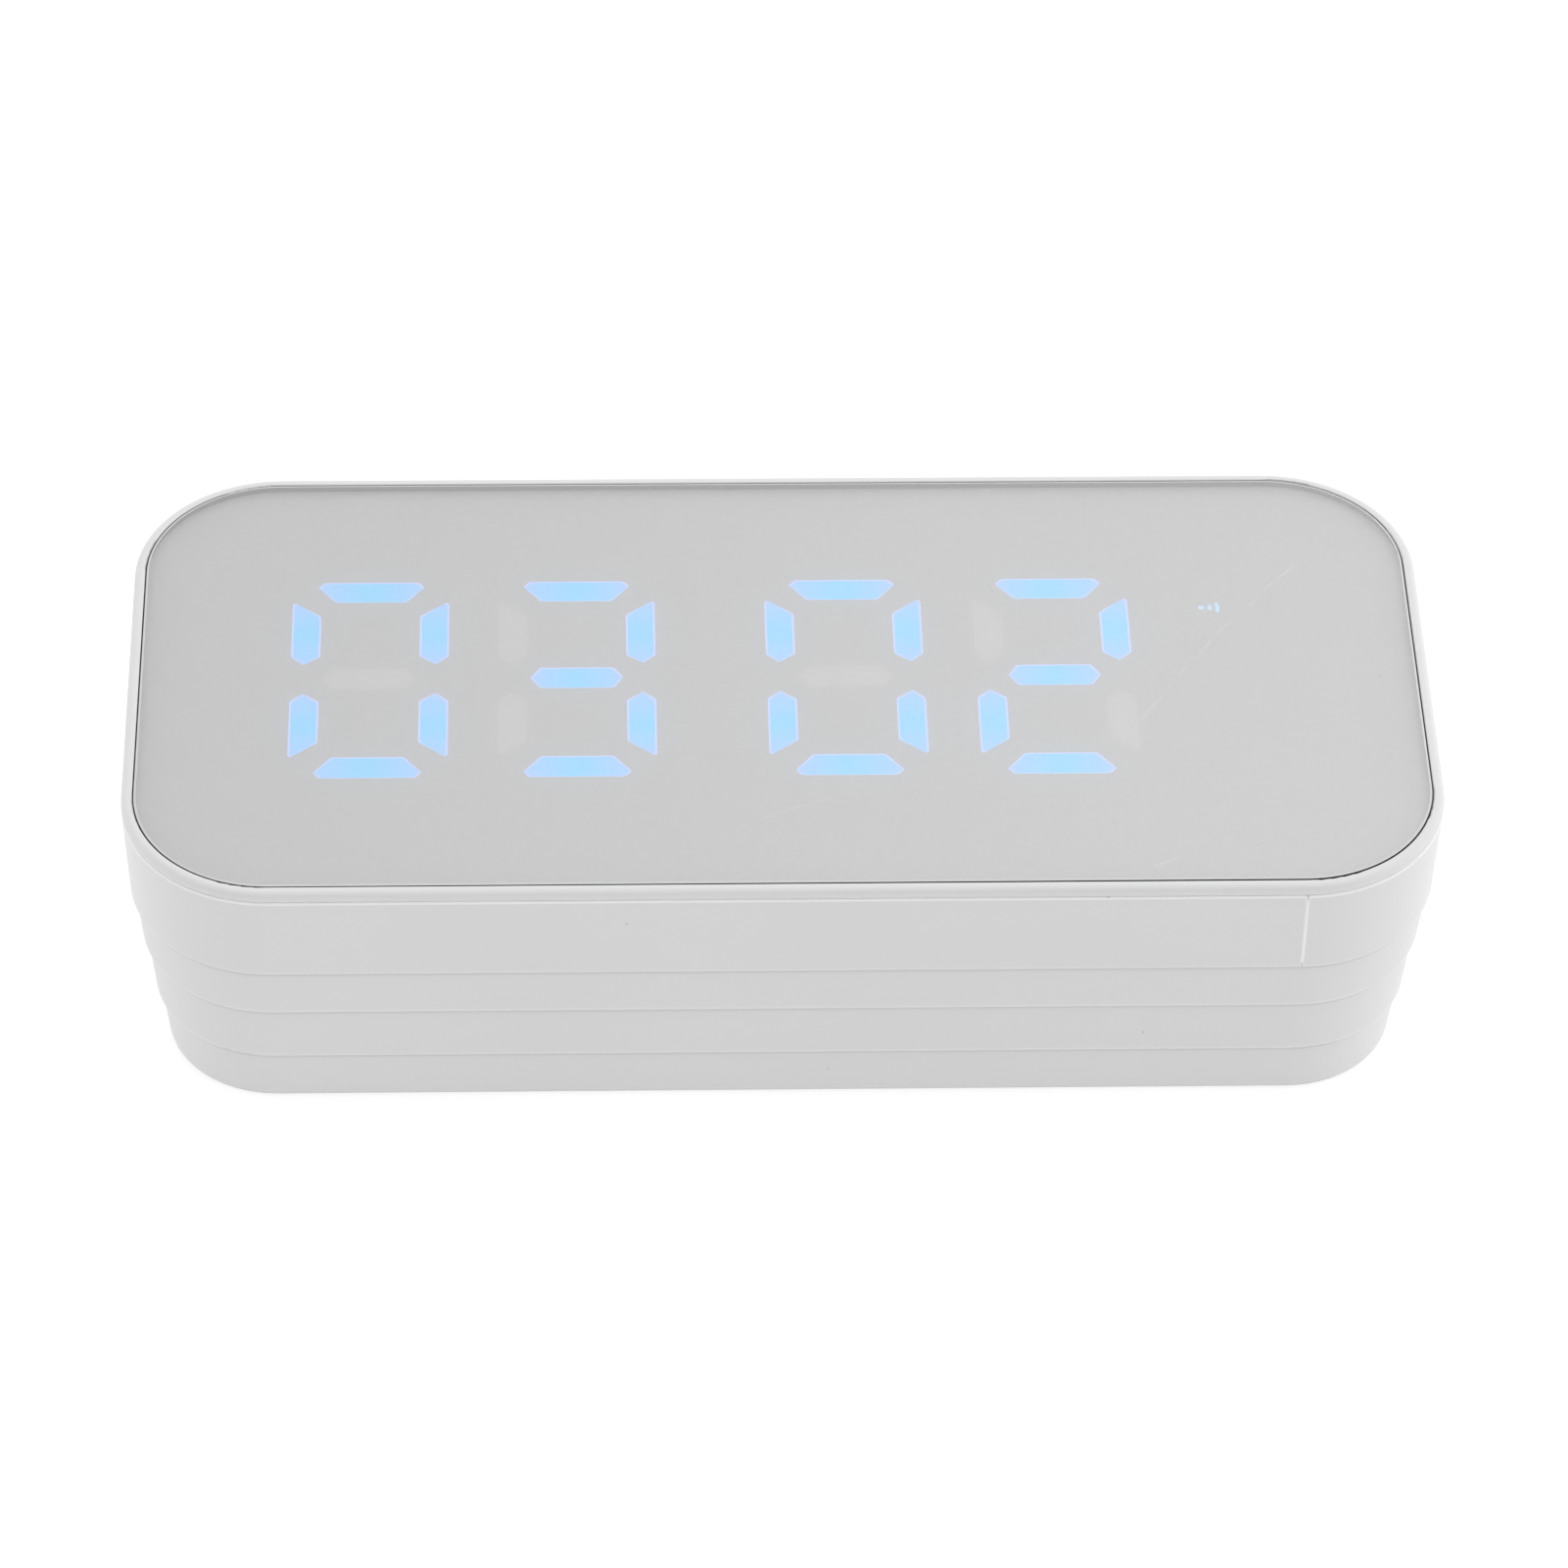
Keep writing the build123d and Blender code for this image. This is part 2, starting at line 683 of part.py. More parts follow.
# ---- Tact switches, and for each the plunger and the button that press it ----
with BuildPart() as tact_switches:
    for x in button_places():
        block(
            x,
            board_front_y + shadow_gap,
            button_z - tact_switch_size / 2,
            (tact_switch_size, tact_switch_height, tact_switch_size),
        )
        with BuildSketch(side_plane(board_front_y + tact_switch_height + shadow_gap, x, button_z)):
            Circle(plunger_radius + plunger_clearance)
        extrude(amount=tact_switch_well, mode=Mode.SUBTRACT)
save(tact_switches, "tact_switches")

for name, x in zip(button_names, button_places()):
    with BuildPart() as plunger:
        with BuildSketch(side_plane(button_flange[0] - shadow_gap, x, button_z)):
            Circle(plunger_radius)
        extrude(amount=button_flange[0] - shadow_gap - plunger_back)
    save(plunger, f"{name}_plunger")

    with BuildPart() as button:
        extrude(pill(button_face, x, button_size), amount=button_face - button_flange[0])
        fillet(button.faces().sort_by(Axis.Y)[-1].edges(), radius=button_face_round)
        extrude(pill(button_flange[1], x, button_flange_size), amount=button_flange[1] - button_flange[0])
    save(button, f"{name}_button")

# ---- Speaker ----
flange_front = speaker_back + speaker_flange
basket_front = flange_front + 7.5
magnet_front = basket_front + 6.0
with BuildPart() as speaker_frame:
    with BuildSketch(Plane.XY.offset(speaker_back)):
        with Locations((speaker_x, speaker_y)):
            RectangleRounded(speaker_side, speaker_side, 3.0)
            Circle(speaker_opening, mode=Mode.SUBTRACT)
            with GridLocations(speaker_screw_spacing, speaker_screw_spacing, 2, 2):
                Circle(screw_shank + 2 * bore_clearance, mode=Mode.SUBTRACT)
    extrude(amount=speaker_flange)
    speaker_profile(
        [
            (speaker_opening, flange_front - 0.3),
            (speaker_opening + 0.9, flange_front - 0.3),
            (12.9, basket_front),
            (7.0, basket_front),
            (7.0, basket_front - 0.9),
            (12.2, basket_front - 0.9),
        ]
    )
    with BuildSketch(Plane.XY.offset(flange_front + 1.0)):
        with Locations((speaker_x, speaker_y)):
            with PolarLocations(14.6, 4, start_angle=45):
                RectangleRounded(8.0, 9.0, 1.5)
    extrude(amount=5.0, mode=Mode.SUBTRACT)
save(speaker_frame, "speaker_frame")

with BuildPart() as speaker_magnet:
    speaker_profile(
        [
            (plate_bore_radius, basket_front + shadow_gap),
            (magnet_radius, basket_front + shadow_gap),
            (magnet_radius, magnet_front),
            (yoke_radius, magnet_front),
            (yoke_radius, magnet_front + yoke_thickness),
            (0.0, magnet_front + yoke_thickness),
            (0.0, basket_front + shadow_gap),
            (pole_radius, basket_front + shadow_gap),
            (pole_radius, magnet_front),
            (plate_bore_radius, magnet_front),
        ]
    )
save(speaker_magnet, "speaker_magnet")

cone_front = speaker_back + 0.4
cone_back = basket_front - 2.4
with BuildPart() as speaker_cone:
    speaker_profile(
        [
            (14.2, cone_front),
            (14.2, cone_front + 0.5),
            (6.9, cone_back + 0.5),
            (0.0, cone_back - 1.5),
            (0.0, cone_back - 2.0),
            (6.9, cone_back),
        ]
    )
save(speaker_cone, "speaker_cone")

with BuildPart() as speaker_coil:
    speaker_profile(
        [
            (6.55, cone_back + 0.65),
            (6.85, cone_back + 0.65),
            (6.85, basket_front + 3.5),
            (6.55, basket_front + 3.5),
        ]
    )
save(speaker_coil, "speaker_coil")

with BuildPart() as speaker_surround:
    speaker_profile(
        [
            (14.3, cone_front),
            (15.3, cone_front - 0.9),
            (16.3, cone_front - 0.9),
            (17.3, cone_front),
            (17.3, cone_front + 0.4),
            (16.2, cone_front - 0.4),
            (15.4, cone_front - 0.4),
            (14.3, cone_front + 0.4),
        ]
    )
save(speaker_surround, "speaker_surround")

with BuildPart() as speaker_gasket:
    with BuildSketch(Plane.XY.offset(gasket_back)):
        with Locations((speaker_x, speaker_y)):
            Circle(seat_ring[1])
            Circle(seat_ring[0], mode=Mode.SUBTRACT)
    extrude(amount=speaker_back - gasket_back - shadow_gap)
save(speaker_gasket, "speaker_gasket")

with BuildPart() as speaker_screws:
    with BuildSketch(Plane.XY.offset(speaker_screw_back)):
        with Locations((speaker_x, speaker_y)):
            with GridLocations(speaker_screw_spacing, speaker_screw_spacing, 2, 2):
                Circle(screw_shank)
    extrude(amount=flange_front + shadow_gap - speaker_screw_back)
    with BuildSketch(Plane.XY.offset(flange_front + shadow_gap)):
        with Locations((speaker_x, speaker_y)):
            with GridLocations(speaker_screw_spacing, speaker_screw_spacing, 2, 2):
                Circle(screw_head_radius)
    extrude(amount=screw_head_height)
save(speaker_screws, "speaker_screws")

with BuildPart() as grille_cloth:
    with BuildSketch(Plane.XY.offset(back_wall + shadow_gap)):
        with Locations((speaker_x, speaker_y)):
            Circle(seat_ring[0] - cloth_inset)
    extrude(amount=cloth_thickness)
save(grille_cloth, "grille_cloth")

# ---- Battery, its foam pad and the leads ----
with BuildPart() as battery_cell:
    with BuildSketch(Plane(origin=battery_centre, z_dir=(1, 0, 0))):
        Circle(battery_radius)
    extrude(amount=battery_length / 2, both=True)
    fillet(battery_cell.edges().filter_by(GeomType.CIRCLE), radius=battery_edge_round)
save(battery_cell, "battery_cell")

with BuildPart() as battery_foam_pad:
    foam_back = battery_centre[2] + battery_radius + shadow_gap
    block(
        battery_centre[0],
        battery_centre[1] - foam_size[1] / 2,
        foam_back,
        (foam_size[0], foam_size[1], display_board_back - shadow_gap - foam_back),
    )
save(battery_foam_pad, "battery_foam_pad")

lead_radius = 0.6
lead_spacing = 1.2
lead_run = 3.2
lead_rise_y = 10.0
terminal_y = 17.0
battery_end = battery_centre[0] - battery_length / 2
socket_y = main_board_y - wire_socket_size[1] - 2 * shadow_gap
socket_z = wire_socket_back + wire_socket_size[2] / 2
with BuildPart() as battery_leads:
    for side in (-lead_spacing, lead_spacing):
        start = (battery_end - shadow_gap, battery_centre[1], battery_centre[2] + side)
        turn = (battery_end - lead_run, battery_centre[1], battery_centre[2] + side)
        rise = (wire_socket_x[1] + side, lead_rise_y, socket_z)
        end = (wire_socket_x[1] + side, socket_y, socket_z)
        round_lead([start, turn, rise, end], lead_radius, 1.5)
save(battery_leads, "battery_leads")

with BuildPart() as speaker_leads:
    for side in (-lead_spacing, lead_spacing):
        x = wire_socket_x[0] + side
        start = (x, speaker_y + terminal_y, flange_front + shadow_gap)
        rise = (x, speaker_y + terminal_y, socket_z)
        end = (x, socket_y, socket_z)
        round_lead([start, rise, end], lead_radius, 1.2)
save(speaker_leads, "speaker_leads")

# ---- Ribbon cable between the boards and its two sockets ----
ribbon_x = 42.0
ribbon_width = 14.0
ribbon_thickness = 0.3
ribbon_socket_height = 2.0
ribbon_socket_length = 3.6
ribbon_socket_y = 17.0
ribbon_socket_z = 17.0
with BuildPart() as ribbon_sockets:
    block(
        ribbon_x,
        ribbon_socket_y,
        display_board_back - ribbon_socket_height - shadow_gap,
        (ribbon_width + 2.0, ribbon_socket_length, ribbon_socket_height),
    )
    block(
        ribbon_x,
        main_board_y - ribbon_socket_height - shadow_gap,
        ribbon_socket_z,
        (ribbon_width + 2.0, ribbon_socket_height, ribbon_socket_length),
    )
save(ribbon_sockets, "ribbon_sockets")

with BuildPart() as ribbon_cable:
    ribbon_start = ribbon_socket_y + ribbon_socket_length + shadow_gap
    ribbon_end = ribbon_socket_z + ribbon_socket_length + shadow_gap
    ribbon_z = display_board_back - ribbon_socket_height / 2
    ribbon_y = main_board_y - ribbon_socket_height / 2
    with BuildSketch(Plane.YZ.offset(ribbon_x - ribbon_width / 2)):
        with BuildLine():
            FilletPolyline((ribbon_start, ribbon_z), (ribbon_y, ribbon_z), (ribbon_y, ribbon_end), radius=2.0)
        trace(line_width=ribbon_thickness)
    extrude(amount=ribbon_width)
save(ribbon_cable, "ribbon_cable")

# ---- Screws that pull the rear housing onto the front bezel ----
with BuildPart() as case_screws:
    with BuildSketch(Plane.XY.offset(case_recess_depth)):
        with GridLocations(*case_screw_spacing, 2, 2):
            Circle(case_screw_shank)
    extrude(amount=case_column_front - case_recess_depth + case_screw_bite)
    with BuildSketch(Plane.XY.offset(case_recess_depth)):
        with GridLocations(*case_screw_spacing, 2, 2):
            Circle(case_screw_head_radius)
    extrude(amount=-case_screw_head_height)
    chamfer(case_screws.faces().group_by(Axis.Z)[0].edges(), length=0.4)
save(case_screws, "case_screws")
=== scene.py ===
import json
import math

import bmesh
import bpy
from mathutils import Matrix, Vector


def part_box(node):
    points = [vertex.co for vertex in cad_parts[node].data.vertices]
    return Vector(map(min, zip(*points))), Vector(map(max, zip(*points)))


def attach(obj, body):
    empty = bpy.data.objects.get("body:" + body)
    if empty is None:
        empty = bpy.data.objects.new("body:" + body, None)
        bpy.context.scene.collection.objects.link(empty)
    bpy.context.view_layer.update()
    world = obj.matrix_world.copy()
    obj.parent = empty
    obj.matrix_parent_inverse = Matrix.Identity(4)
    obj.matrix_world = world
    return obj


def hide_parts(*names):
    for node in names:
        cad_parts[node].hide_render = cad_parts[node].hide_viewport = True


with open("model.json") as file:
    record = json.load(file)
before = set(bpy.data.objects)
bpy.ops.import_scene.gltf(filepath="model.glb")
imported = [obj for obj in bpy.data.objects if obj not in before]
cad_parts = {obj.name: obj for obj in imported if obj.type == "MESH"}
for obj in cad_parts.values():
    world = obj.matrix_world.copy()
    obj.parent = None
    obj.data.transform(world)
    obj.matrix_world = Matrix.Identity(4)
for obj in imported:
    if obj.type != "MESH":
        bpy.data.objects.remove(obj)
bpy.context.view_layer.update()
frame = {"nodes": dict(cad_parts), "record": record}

MM = 0.001

# The middle of the mirror's front face, from the frame
mirror_low, mirror_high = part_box("mirror_panel")
FACE = (mirror_low + mirror_high) / 2
FACE.z = mirror_high.z

slot_of = {entry["node"]: entry["material_slot"] for entry in frame["record"]["subparts"]}


# ---------------------------------------------------------------- materials
class Finish:
    """A Principled material whose colour, roughness and bump come from nodes in the object's coordinates."""

    def __init__(self, name, metallic=0.0, specular=0.5, coat=0.0):
        self.material = bpy.data.materials.new(name)
        self.material.use_nodes = True
        self.nodes = self.material.node_tree.nodes
        self.links = self.material.node_tree.links
        self.shader = self.nodes["Principled BSDF"]
        self.shader.inputs["Metallic"].default_value = metallic
        self.shader.inputs["Specular IOR Level"].default_value = specular
        self.shader.inputs["Coat Weight"].default_value = coat
        self.shader.inputs["Coat Roughness"].default_value = 0.08
        self.place = self.nodes.new("ShaderNodeTexCoord").outputs["Object"]

    def feed(self, socket, value):
        """Link a node's output to a socket, or set a number or colour on it."""
        if isinstance(value, bpy.types.NodeSocket):
            self.links.new(value, socket)
        elif isinstance(value, tuple) and len(value) == 3 and socket.type == "RGBA":
            socket.default_value = (*value, 1.0)
        else:
            socket.default_value = value

    def streaked(self, grow, angle=0.0):
        """Coordinates turned about Z and then stretched, for grain that runs one way."""
        node = self.nodes.new("ShaderNodeMapping")
        node.vector_type = "TEXTURE"
        node.inputs["Rotation"].default_value = (0.0, 0.0, angle)
        node.inputs["Scale"].default_value = grow
        self.feed(node.inputs["Vector"], self.place)
        return node.outputs["Vector"]

    def noise(self, size, detail=2.0, roughness=0.5, place=None):
        """Noise from 0 to 1 whose blobs are about size metres across."""
        node = self.nodes.new("ShaderNodeTexNoise")
        node.inputs["Scale"].default_value = 1.0 / size
        node.inputs["Detail"].default_value = detail
        node.inputs["Roughness"].default_value = roughness
        self.feed(node.inputs["Vector"], place or self.place)
        return node.outputs["Fac"]

    def math(self, operation, first, second=0.0):
        node = self.nodes.new("ShaderNodeMath")
        node.operation = operation
        self.feed(node.inputs[0], first)
        self.feed(node.inputs[1], second)
        return node.outputs[0]

    def ramp(self, value, low, high, at_low=0.0, at_high=1.0):
        """Value turned into at_low..at_high while it goes from low to high, with soft ends."""
        node = self.nodes.new("ShaderNodeMapRange")
        node.interpolation_type = "SMOOTHSTEP"
        node.inputs["From Min"].default_value = low
        node.inputs["From Max"].default_value = high
        node.inputs["To Min"].default_value = at_low
        node.inputs["To Max"].default_value = at_high
        self.feed(node.inputs["Value"], value)
        return node.outputs["Result"]

    def mix(self, factor, first, second):
        node = self.nodes.new("ShaderNodeMix")
        node.data_type = "RGBA"
        self.feed(node.inputs["Factor"], factor)
        colours = [socket for socket in node.inputs if socket.type == "RGBA"]
        self.feed(colours[0], first)
        self.feed(colours[1], second)
        return next(socket for socket in node.outputs if socket.type == "RGBA")

    def specks(self, spacing, radius, share):
        """Sparse dots of about the given radius, in a share of cells of the given spacing."""
        node = self.nodes.new("ShaderNodeTexVoronoi")
        node.inputs["Scale"].default_value = 1.0 / spacing
        self.feed(node.inputs["Vector"], self.place)
        split = self.nodes.new("ShaderNodeSeparateColor")
        self.feed(split.inputs["Color"], node.outputs["Color"])
        reach = radius / spacing
        dot = self.ramp(node.outputs["Distance"], reach * 0.5, reach, 1.0, 0.0)
        return self.math("MULTIPLY", dot, self.math("GREATER_THAN", split.outputs["Red"], 1.0 - share))

    def nearness(self, distance, inside):
        """1 in the open, falling towards corners: hollow ones, or outward edges with inside True."""
        node = self.nodes.new("ShaderNodeAmbientOcclusion")
        node.samples = 8
        node.inside = inside
        node.inputs["Distance"].default_value = distance
        return node.outputs["AO"]

    def along(self, direction, start):
        """Distance of a surface point past start, in the given direction."""
        node = self.nodes.new("ShaderNodeVectorMath")
        node.operation = "DOT_PRODUCT"
        self.feed(node.inputs[0], self.place)
        node.inputs[1].default_value = direction
        return self.math("SUBTRACT", node.outputs["Value"], direction.dot(start))

    def stripe(self, distance, full, end):
        """1 while the distance goes from 0 to full, falling to 0 at end; 0 behind the start."""
        begins = self.ramp(distance, 0.0, 0.1 * MM)
        ends = self.ramp(distance, full, end, 1.0, 0.0)
        return self.math("MULTIPLY", begins, ends)

    def colour(self, value):
        self.feed(self.shader.inputs["Base Color"], value)

    def roughness(self, value, low, high):
        self.feed(self.shader.inputs["Roughness"], self.ramp(value, 0.0, 1.0, low, high))

    def bump(self, value, strength, height):
        node = self.nodes.new("ShaderNodeBump")
        node.inputs["Strength"].default_value = strength
        node.inputs["Distance"].default_value = height
        self.feed(node.inputs["Height"], value)
        self.feed(self.shader.inputs["Normal"], node.outputs["Normal"])


def scaled(colour, factor):
    return tuple(factor * part for part in colour)


def case_plastic(name, colour, rough, grain=0.35 * MM):
    """White satin moulding: grain, clouds, painted shade in creases, painted highlight on outward edges,
    painted highlight and shade lines at the steps, a painted highlight along the joint, and dust.
    """
    finish = Finish(name)
    tone = finish.mix(finish.noise(CLOUD_SIZE), colour, scaled(colour, 0.968))
    # Painted shade: the colour darkens where the occlusion node finds a hollow or crease
    painted_crease_shade = finish.ramp(finish.nearness(PAINTED_SHADE_REACH, False), 0.40, 0.96, 1.0, 0.0)
    tone = finish.mix(painted_crease_shade, tone, scaled(colour, 0.70))
    # Painted highlight: the colour lightens on outward edges found by the inside occlusion node
    painted_edge_highlight = finish.ramp(finish.nearness(PAINTED_HIGHLIGHT_REACH, True), 0.45, 0.9, 1.0, 0.0)
    tone = finish.mix(painted_edge_highlight, tone, scaled(colour, 1.07))
    # Painted highlight just above each step, and painted shade just below it
    for step in STEP_HEIGHTS:
        above = finish.along(UP, step * UP)
        below = finish.math("MULTIPLY", above, -1.0)
        tone = finish.mix(finish.stripe(above, 0.2 * MM, 0.6 * MM), tone, scaled(colour, 1.08))
        tone = finish.mix(finish.stripe(below, 0.2 * MM, 0.9 * MM), tone, scaled(colour, 0.84))
    # Painted highlight: the colour is whitened along the joint between rim and belt
    joint = finish.math("ABSOLUTE", finish.along(UP, JOINT_HEIGHT * UP))
    tone = finish.mix(finish.ramp(joint, 0.12 * MM, 0.42 * MM, 1.0, 0.0), tone, JOINT_PAINTED_HIGHLIGHT)
    dust = finish.math("MULTIPLY", finish.specks(DUST_SPACING, 0.22 * MM, 0.02), 0.4)
    finish.colour(finish.mix(dust, tone, (0.30, 0.30, 0.295)))
    texture = finish.noise(grain, 2.0, 0.6)
    finish.roughness(texture, *rough)
    finish.bump(texture, 0.16, 0.02 * MM)
    return finish.material


def moulding(name, colour, shade, grain, rough=(0.35, 0.5), specular=0.5):
    """Small moulded piece with a fine grain."""
    finish = Finish(name, specular=specular)
    texture = finish.noise(grain, 3.0, 0.6)
    finish.colour(finish.mix(texture, colour, shade))
    finish.roughness(texture, *rough)
    finish.bump(texture, 0.2, 0.02 * MM)
    return finish.material


def drawn_metal(name, colour, shade, rough=(0.22, 0.4), grow=(1.0, 0.04, 1.0)):
    """Metal with fine drawn or wound lines across one axis."""
    finish = Finish(name, metallic=1.0)
    lines = finish.noise(2.0 * MM, 3.0, 0.6, finish.streaked(grow))
    finish.colour(finish.mix(lines, colour, shade))
    finish.roughness(lines, *rough)
    finish.bump(lines, 0.15, 0.01 * MM)
    return finish.material


def open_grain(name, colour, shade, grain, strength=0.4):
    """Foam, rubber, ferrite and paper: matt with an open grain."""
    finish = Finish(name, specular=0.3)
    texture = finish.noise(grain, 4.0, 0.65)
    finish.colour(finish.mix(texture, colour, shade))
    finish.roughness(texture, 0.7, 0.95)
    finish.bump(texture, strength, 0.06 * MM)
    return finish.material


def woven_mesh(name, thread_colour, gap_colour, thread):
    """Plain-woven acoustic mesh: crossing threads with dark gaps."""
    finish = Finish(name, specular=0.2)
    split = finish.nodes.new("ShaderNodeSeparateXYZ")
    finish.feed(split.inputs["Vector"], finish.place)
    waves = []
    for axis in ("X", "Y"):
        turn = finish.math("MULTIPLY", split.outputs[axis], math.pi / thread)
        waves.append(finish.math("ABSOLUTE", finish.math("SINE", turn)))
    weave = finish.math("MAXIMUM", *waves)
    finish.colour(finish.mix(finish.ramp(weave, 0.55, 0.95), gap_colour, thread_colour))
    finish.roughness(weave, 0.95, 0.7)
    finish.bump(weave, 0.6, 0.08 * MM)
    return finish.material


def solder_mask():
    """Green board with fine tracks under its mask."""
    finish = Finish("solder_mask", coat=0.3)
    tracks = finish.nodes.new("ShaderNodeTexVoronoi")
    tracks.distance = "CHEBYCHEV"
    tracks.inputs["Scale"].default_value = 1.0 / (3.8 * MM)
    finish.feed(tracks.inputs["Vector"], finish.place)
    lines = finish.ramp(tracks.outputs["Distance"], 0.32, 0.36)
    finish.colour(finish.mix(lines, (0.012, 0.10, 0.045), (0.02, 0.17, 0.075)))
    finish.roughness(lines, 0.3, 0.42)
    finish.bump(lines, 0.3, 0.03 * MM)
    return finish.material


def scratch(finish, start, end, half_width, waver):
    """Faint broken line on the mirror between two points of the face, in millimetres from its middle."""
    start = FACE + Vector((*start, 0.0)) * MM
    end = FACE + Vector((*end, 0.0)) * MM
    direction = (end - start).normalized()
    across = Vector((-direction.y, direction.x, 0.0))
    wander = finish.ramp(finish.noise(14 * MM, 1.0), 0.3, 0.7, -waver, waver)
    side = finish.math("ABSOLUTE", finish.math("ADD", finish.along(across, start), wander))
    line = finish.ramp(side, 0.0, half_width, 1.0, 0.0)
    reach = finish.along(direction, start)
    length = (end - start).length
    begins = finish.ramp(reach, 0.0, 0.25 * length)
    ends = finish.ramp(reach, 0.75 * length, length, 1.0, 0.0)
    broken = finish.ramp(finish.noise(2.2 * MM, 1.0), 0.35, 0.6)
    return finish.math("MULTIPLY", finish.math("MULTIPLY", line, broken), finish.math("MULTIPLY", begins, ends))


def half_mirror():
    """Half-silvered face: cloudy polish, speckle, a few faint scratches and a little dust."""
    finish = Finish("half_mirror_face", metallic=1.0)
    polish = finish.mix(finish.noise(45 * MM), MIRROR_TINT, scaled(MIRROR_TINT, 1.03))
    speckle = finish.noise(0.42 * MM, 2.0, 0.7)
    base = finish.mix(finish.ramp(speckle, 0.3, 0.7, 0.0, 0.45), polish, scaled(MIRROR_TINT, 0.93))
    marks = 0.0
    for start, end, half_width, waver, depth in SCRATCHES:
        mark = finish.math("MULTIPLY", scratch(finish, start, end, half_width * MM, waver * MM), depth)
        marks = finish.math("MAXIMUM", mark, marks)
    base = finish.mix(marks, base, scaled(MIRROR_TINT, 1.22))
    dust = finish.math("MULTIPLY", finish.specks(DUST_SPACING, 0.2 * MM, 0.025), 0.5)
    finish.colour(finish.mix(dust, base, (0.30, 0.29, 0.28)))
    finish.roughness(finish.math("MAXIMUM", speckle, marks), 0.08, 0.2)
    finish.bump(speckle, 0.05, 0.004 * MM)
    finish.shader.inputs["Alpha"].default_value = MIRROR_SHARE
    return finish.material


def mirror_film():
    """Pale diffusing film on the back of the mirror, with a window for each bar."""
    finish = Finish("mirror_film", specular=0.1)
    fibres = finish.noise(0.8 * MM, 3.0)
    finish.colour(finish.mix(fibres, (0.78, 0.78, 0.78), (0.75, 0.75, 0.75)))
    finish.roughness(fibres, 0.6, 0.8)
    return finish.material


def clear_window():
    """Bare acrylic between a bar and the mirror's face."""
    finish = Finish("clear_window")
    finish.roughness(finish.noise(3.0 * MM), 0.04, 0.1)
    finish.shader.inputs["Alpha"].default_value = 0.0
    return finish.material


def sheet_edge(name, colour, shade, rough):
    """Cut edge of the acrylic sheet, faintly uneven."""
    finish = Finish(name)
    streaks = finish.noise(1.5 * MM, 2.0)
    finish.colour(finish.mix(streaks, colour, shade))
    finish.roughness(streaks, *rough)
    return finish.material


def glowing(name, centre, middle, tip, strength):
    """Lit light guide: bluer over its chip, paler towards the tips, which the reach attribute tells apart."""
    finish = Finish(name, specular=0.2)
    reach = finish.nodes.new("ShaderNodeAttribute")
    reach.attribute_name = "reach"
    mottle = finish.ramp(finish.noise(1.1 * MM), 0.3, 0.7, -0.05, 0.05)
    value = finish.math("ADD", reach.outputs["Fac"], mottle)
    inner = finish.mix(finish.ramp(value, 0.05, 0.6), centre, middle)
    finish.feed(finish.shader.inputs["Emission Color"], finish.mix(finish.ramp(value, 0.55, 1.0), inner, tip))
    finish.shader.inputs["Emission Strength"].default_value = strength
    finish.shader.inputs["Base Color"].default_value = (0.02, 0.02, 0.02, 1.0)
    finish.roughness(value, 0.4, 0.6)
    return finish.material


def unlit_guide(name, painted_glow):
    """Unlit light guide or its window, with a painted glow standing in for a trace of its neighbours' light."""
    finish = Finish(name, specular=0.2)
    grain = finish.noise(0.8 * MM, 2.0)
    finish.colour(finish.mix(grain, (0.78, 0.76, 0.765), (0.72, 0.70, 0.705)))
    # Painted glow: faint emission on a guide that is not lit
    finish.shader.inputs["Emission Color"].default_value = (1.0, 0.93, 0.95, 1.0)
    finish.shader.inputs["Emission Strength"].default_value = painted_glow
    finish.roughness(grain, 0.4, 0.6)
    return finish.material


UP = Vector((0.0, 0.0, 1.0))
# Heights of the steps between the tiers, where painted highlight and shade lines run, and of the joint between
# the rim and the belt, where a painted highlight runs
STEP_HEIGHTS = (23.12 * MM, 16.06 * MM, 7.90 * MM)
JOINT_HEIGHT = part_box("trim_belt")[1].z - 0.10 * MM
# Colour of the painted highlight along the joint
JOINT_PAINTED_HIGHLIGHT = (0.82, 0.82, 0.82)
WHITE = (0.685, 0.685, 0.685)
CLOUD_SIZE = 40 * MM
# Reach of the painted crease shade
PAINTED_SHADE_REACH = 1.1 * MM
# Reach of the painted highlight on outward edges
PAINTED_HIGHLIGHT_REACH = 0.35 * MM
DUST_SPACING = 2.6 * MM

# Share of the light that the mirror's face sends back, and its tint
MIRROR_SHARE = 0.54
MIRROR_TINT = (0.573, 0.573, 0.573)
# Start, end, half width, waver (mm) and depth of each scratch
SCRATCHES = (
    ((67.0, 28.0), (38.0, -13.0), 0.16, 0.5, 0.75),
    ((-6.0, -26.6), (10.0, -19.0), 0.14, 0.6, 0.6),
    ((-18.0, -14.6), (-12.5, -12.6), 0.12, 0.3, 0.6),
    ((41.0, -33.0), (45.5, -30.8), 0.16, 0.2, 0.8),
    ((-52.0, 20.0), (-44.0, 28.0), 0.12, 0.4, 0.3),
)

MARK_BLUE = (0.28, 0.54, 0.92)
# Stretch of a metal's fine lines, thin along the named axis
ALONG_X = (0.04, 1.0, 1.0)
ALONG_Z = (1.0, 1.0, 0.04)

case_white = case_plastic("case_plastic", WHITE, (0.36, 0.50))
belt_white = case_plastic("belt_plastic", WHITE, (0.30, 0.42), 0.45 * MM)
button_white = case_plastic("button_plastic", WHITE, (0.32, 0.45))
unlit_bar = unlit_guide("unlit_bar", 0.09)
unlit_dot = unlit_guide("unlit_dot", 0.03)

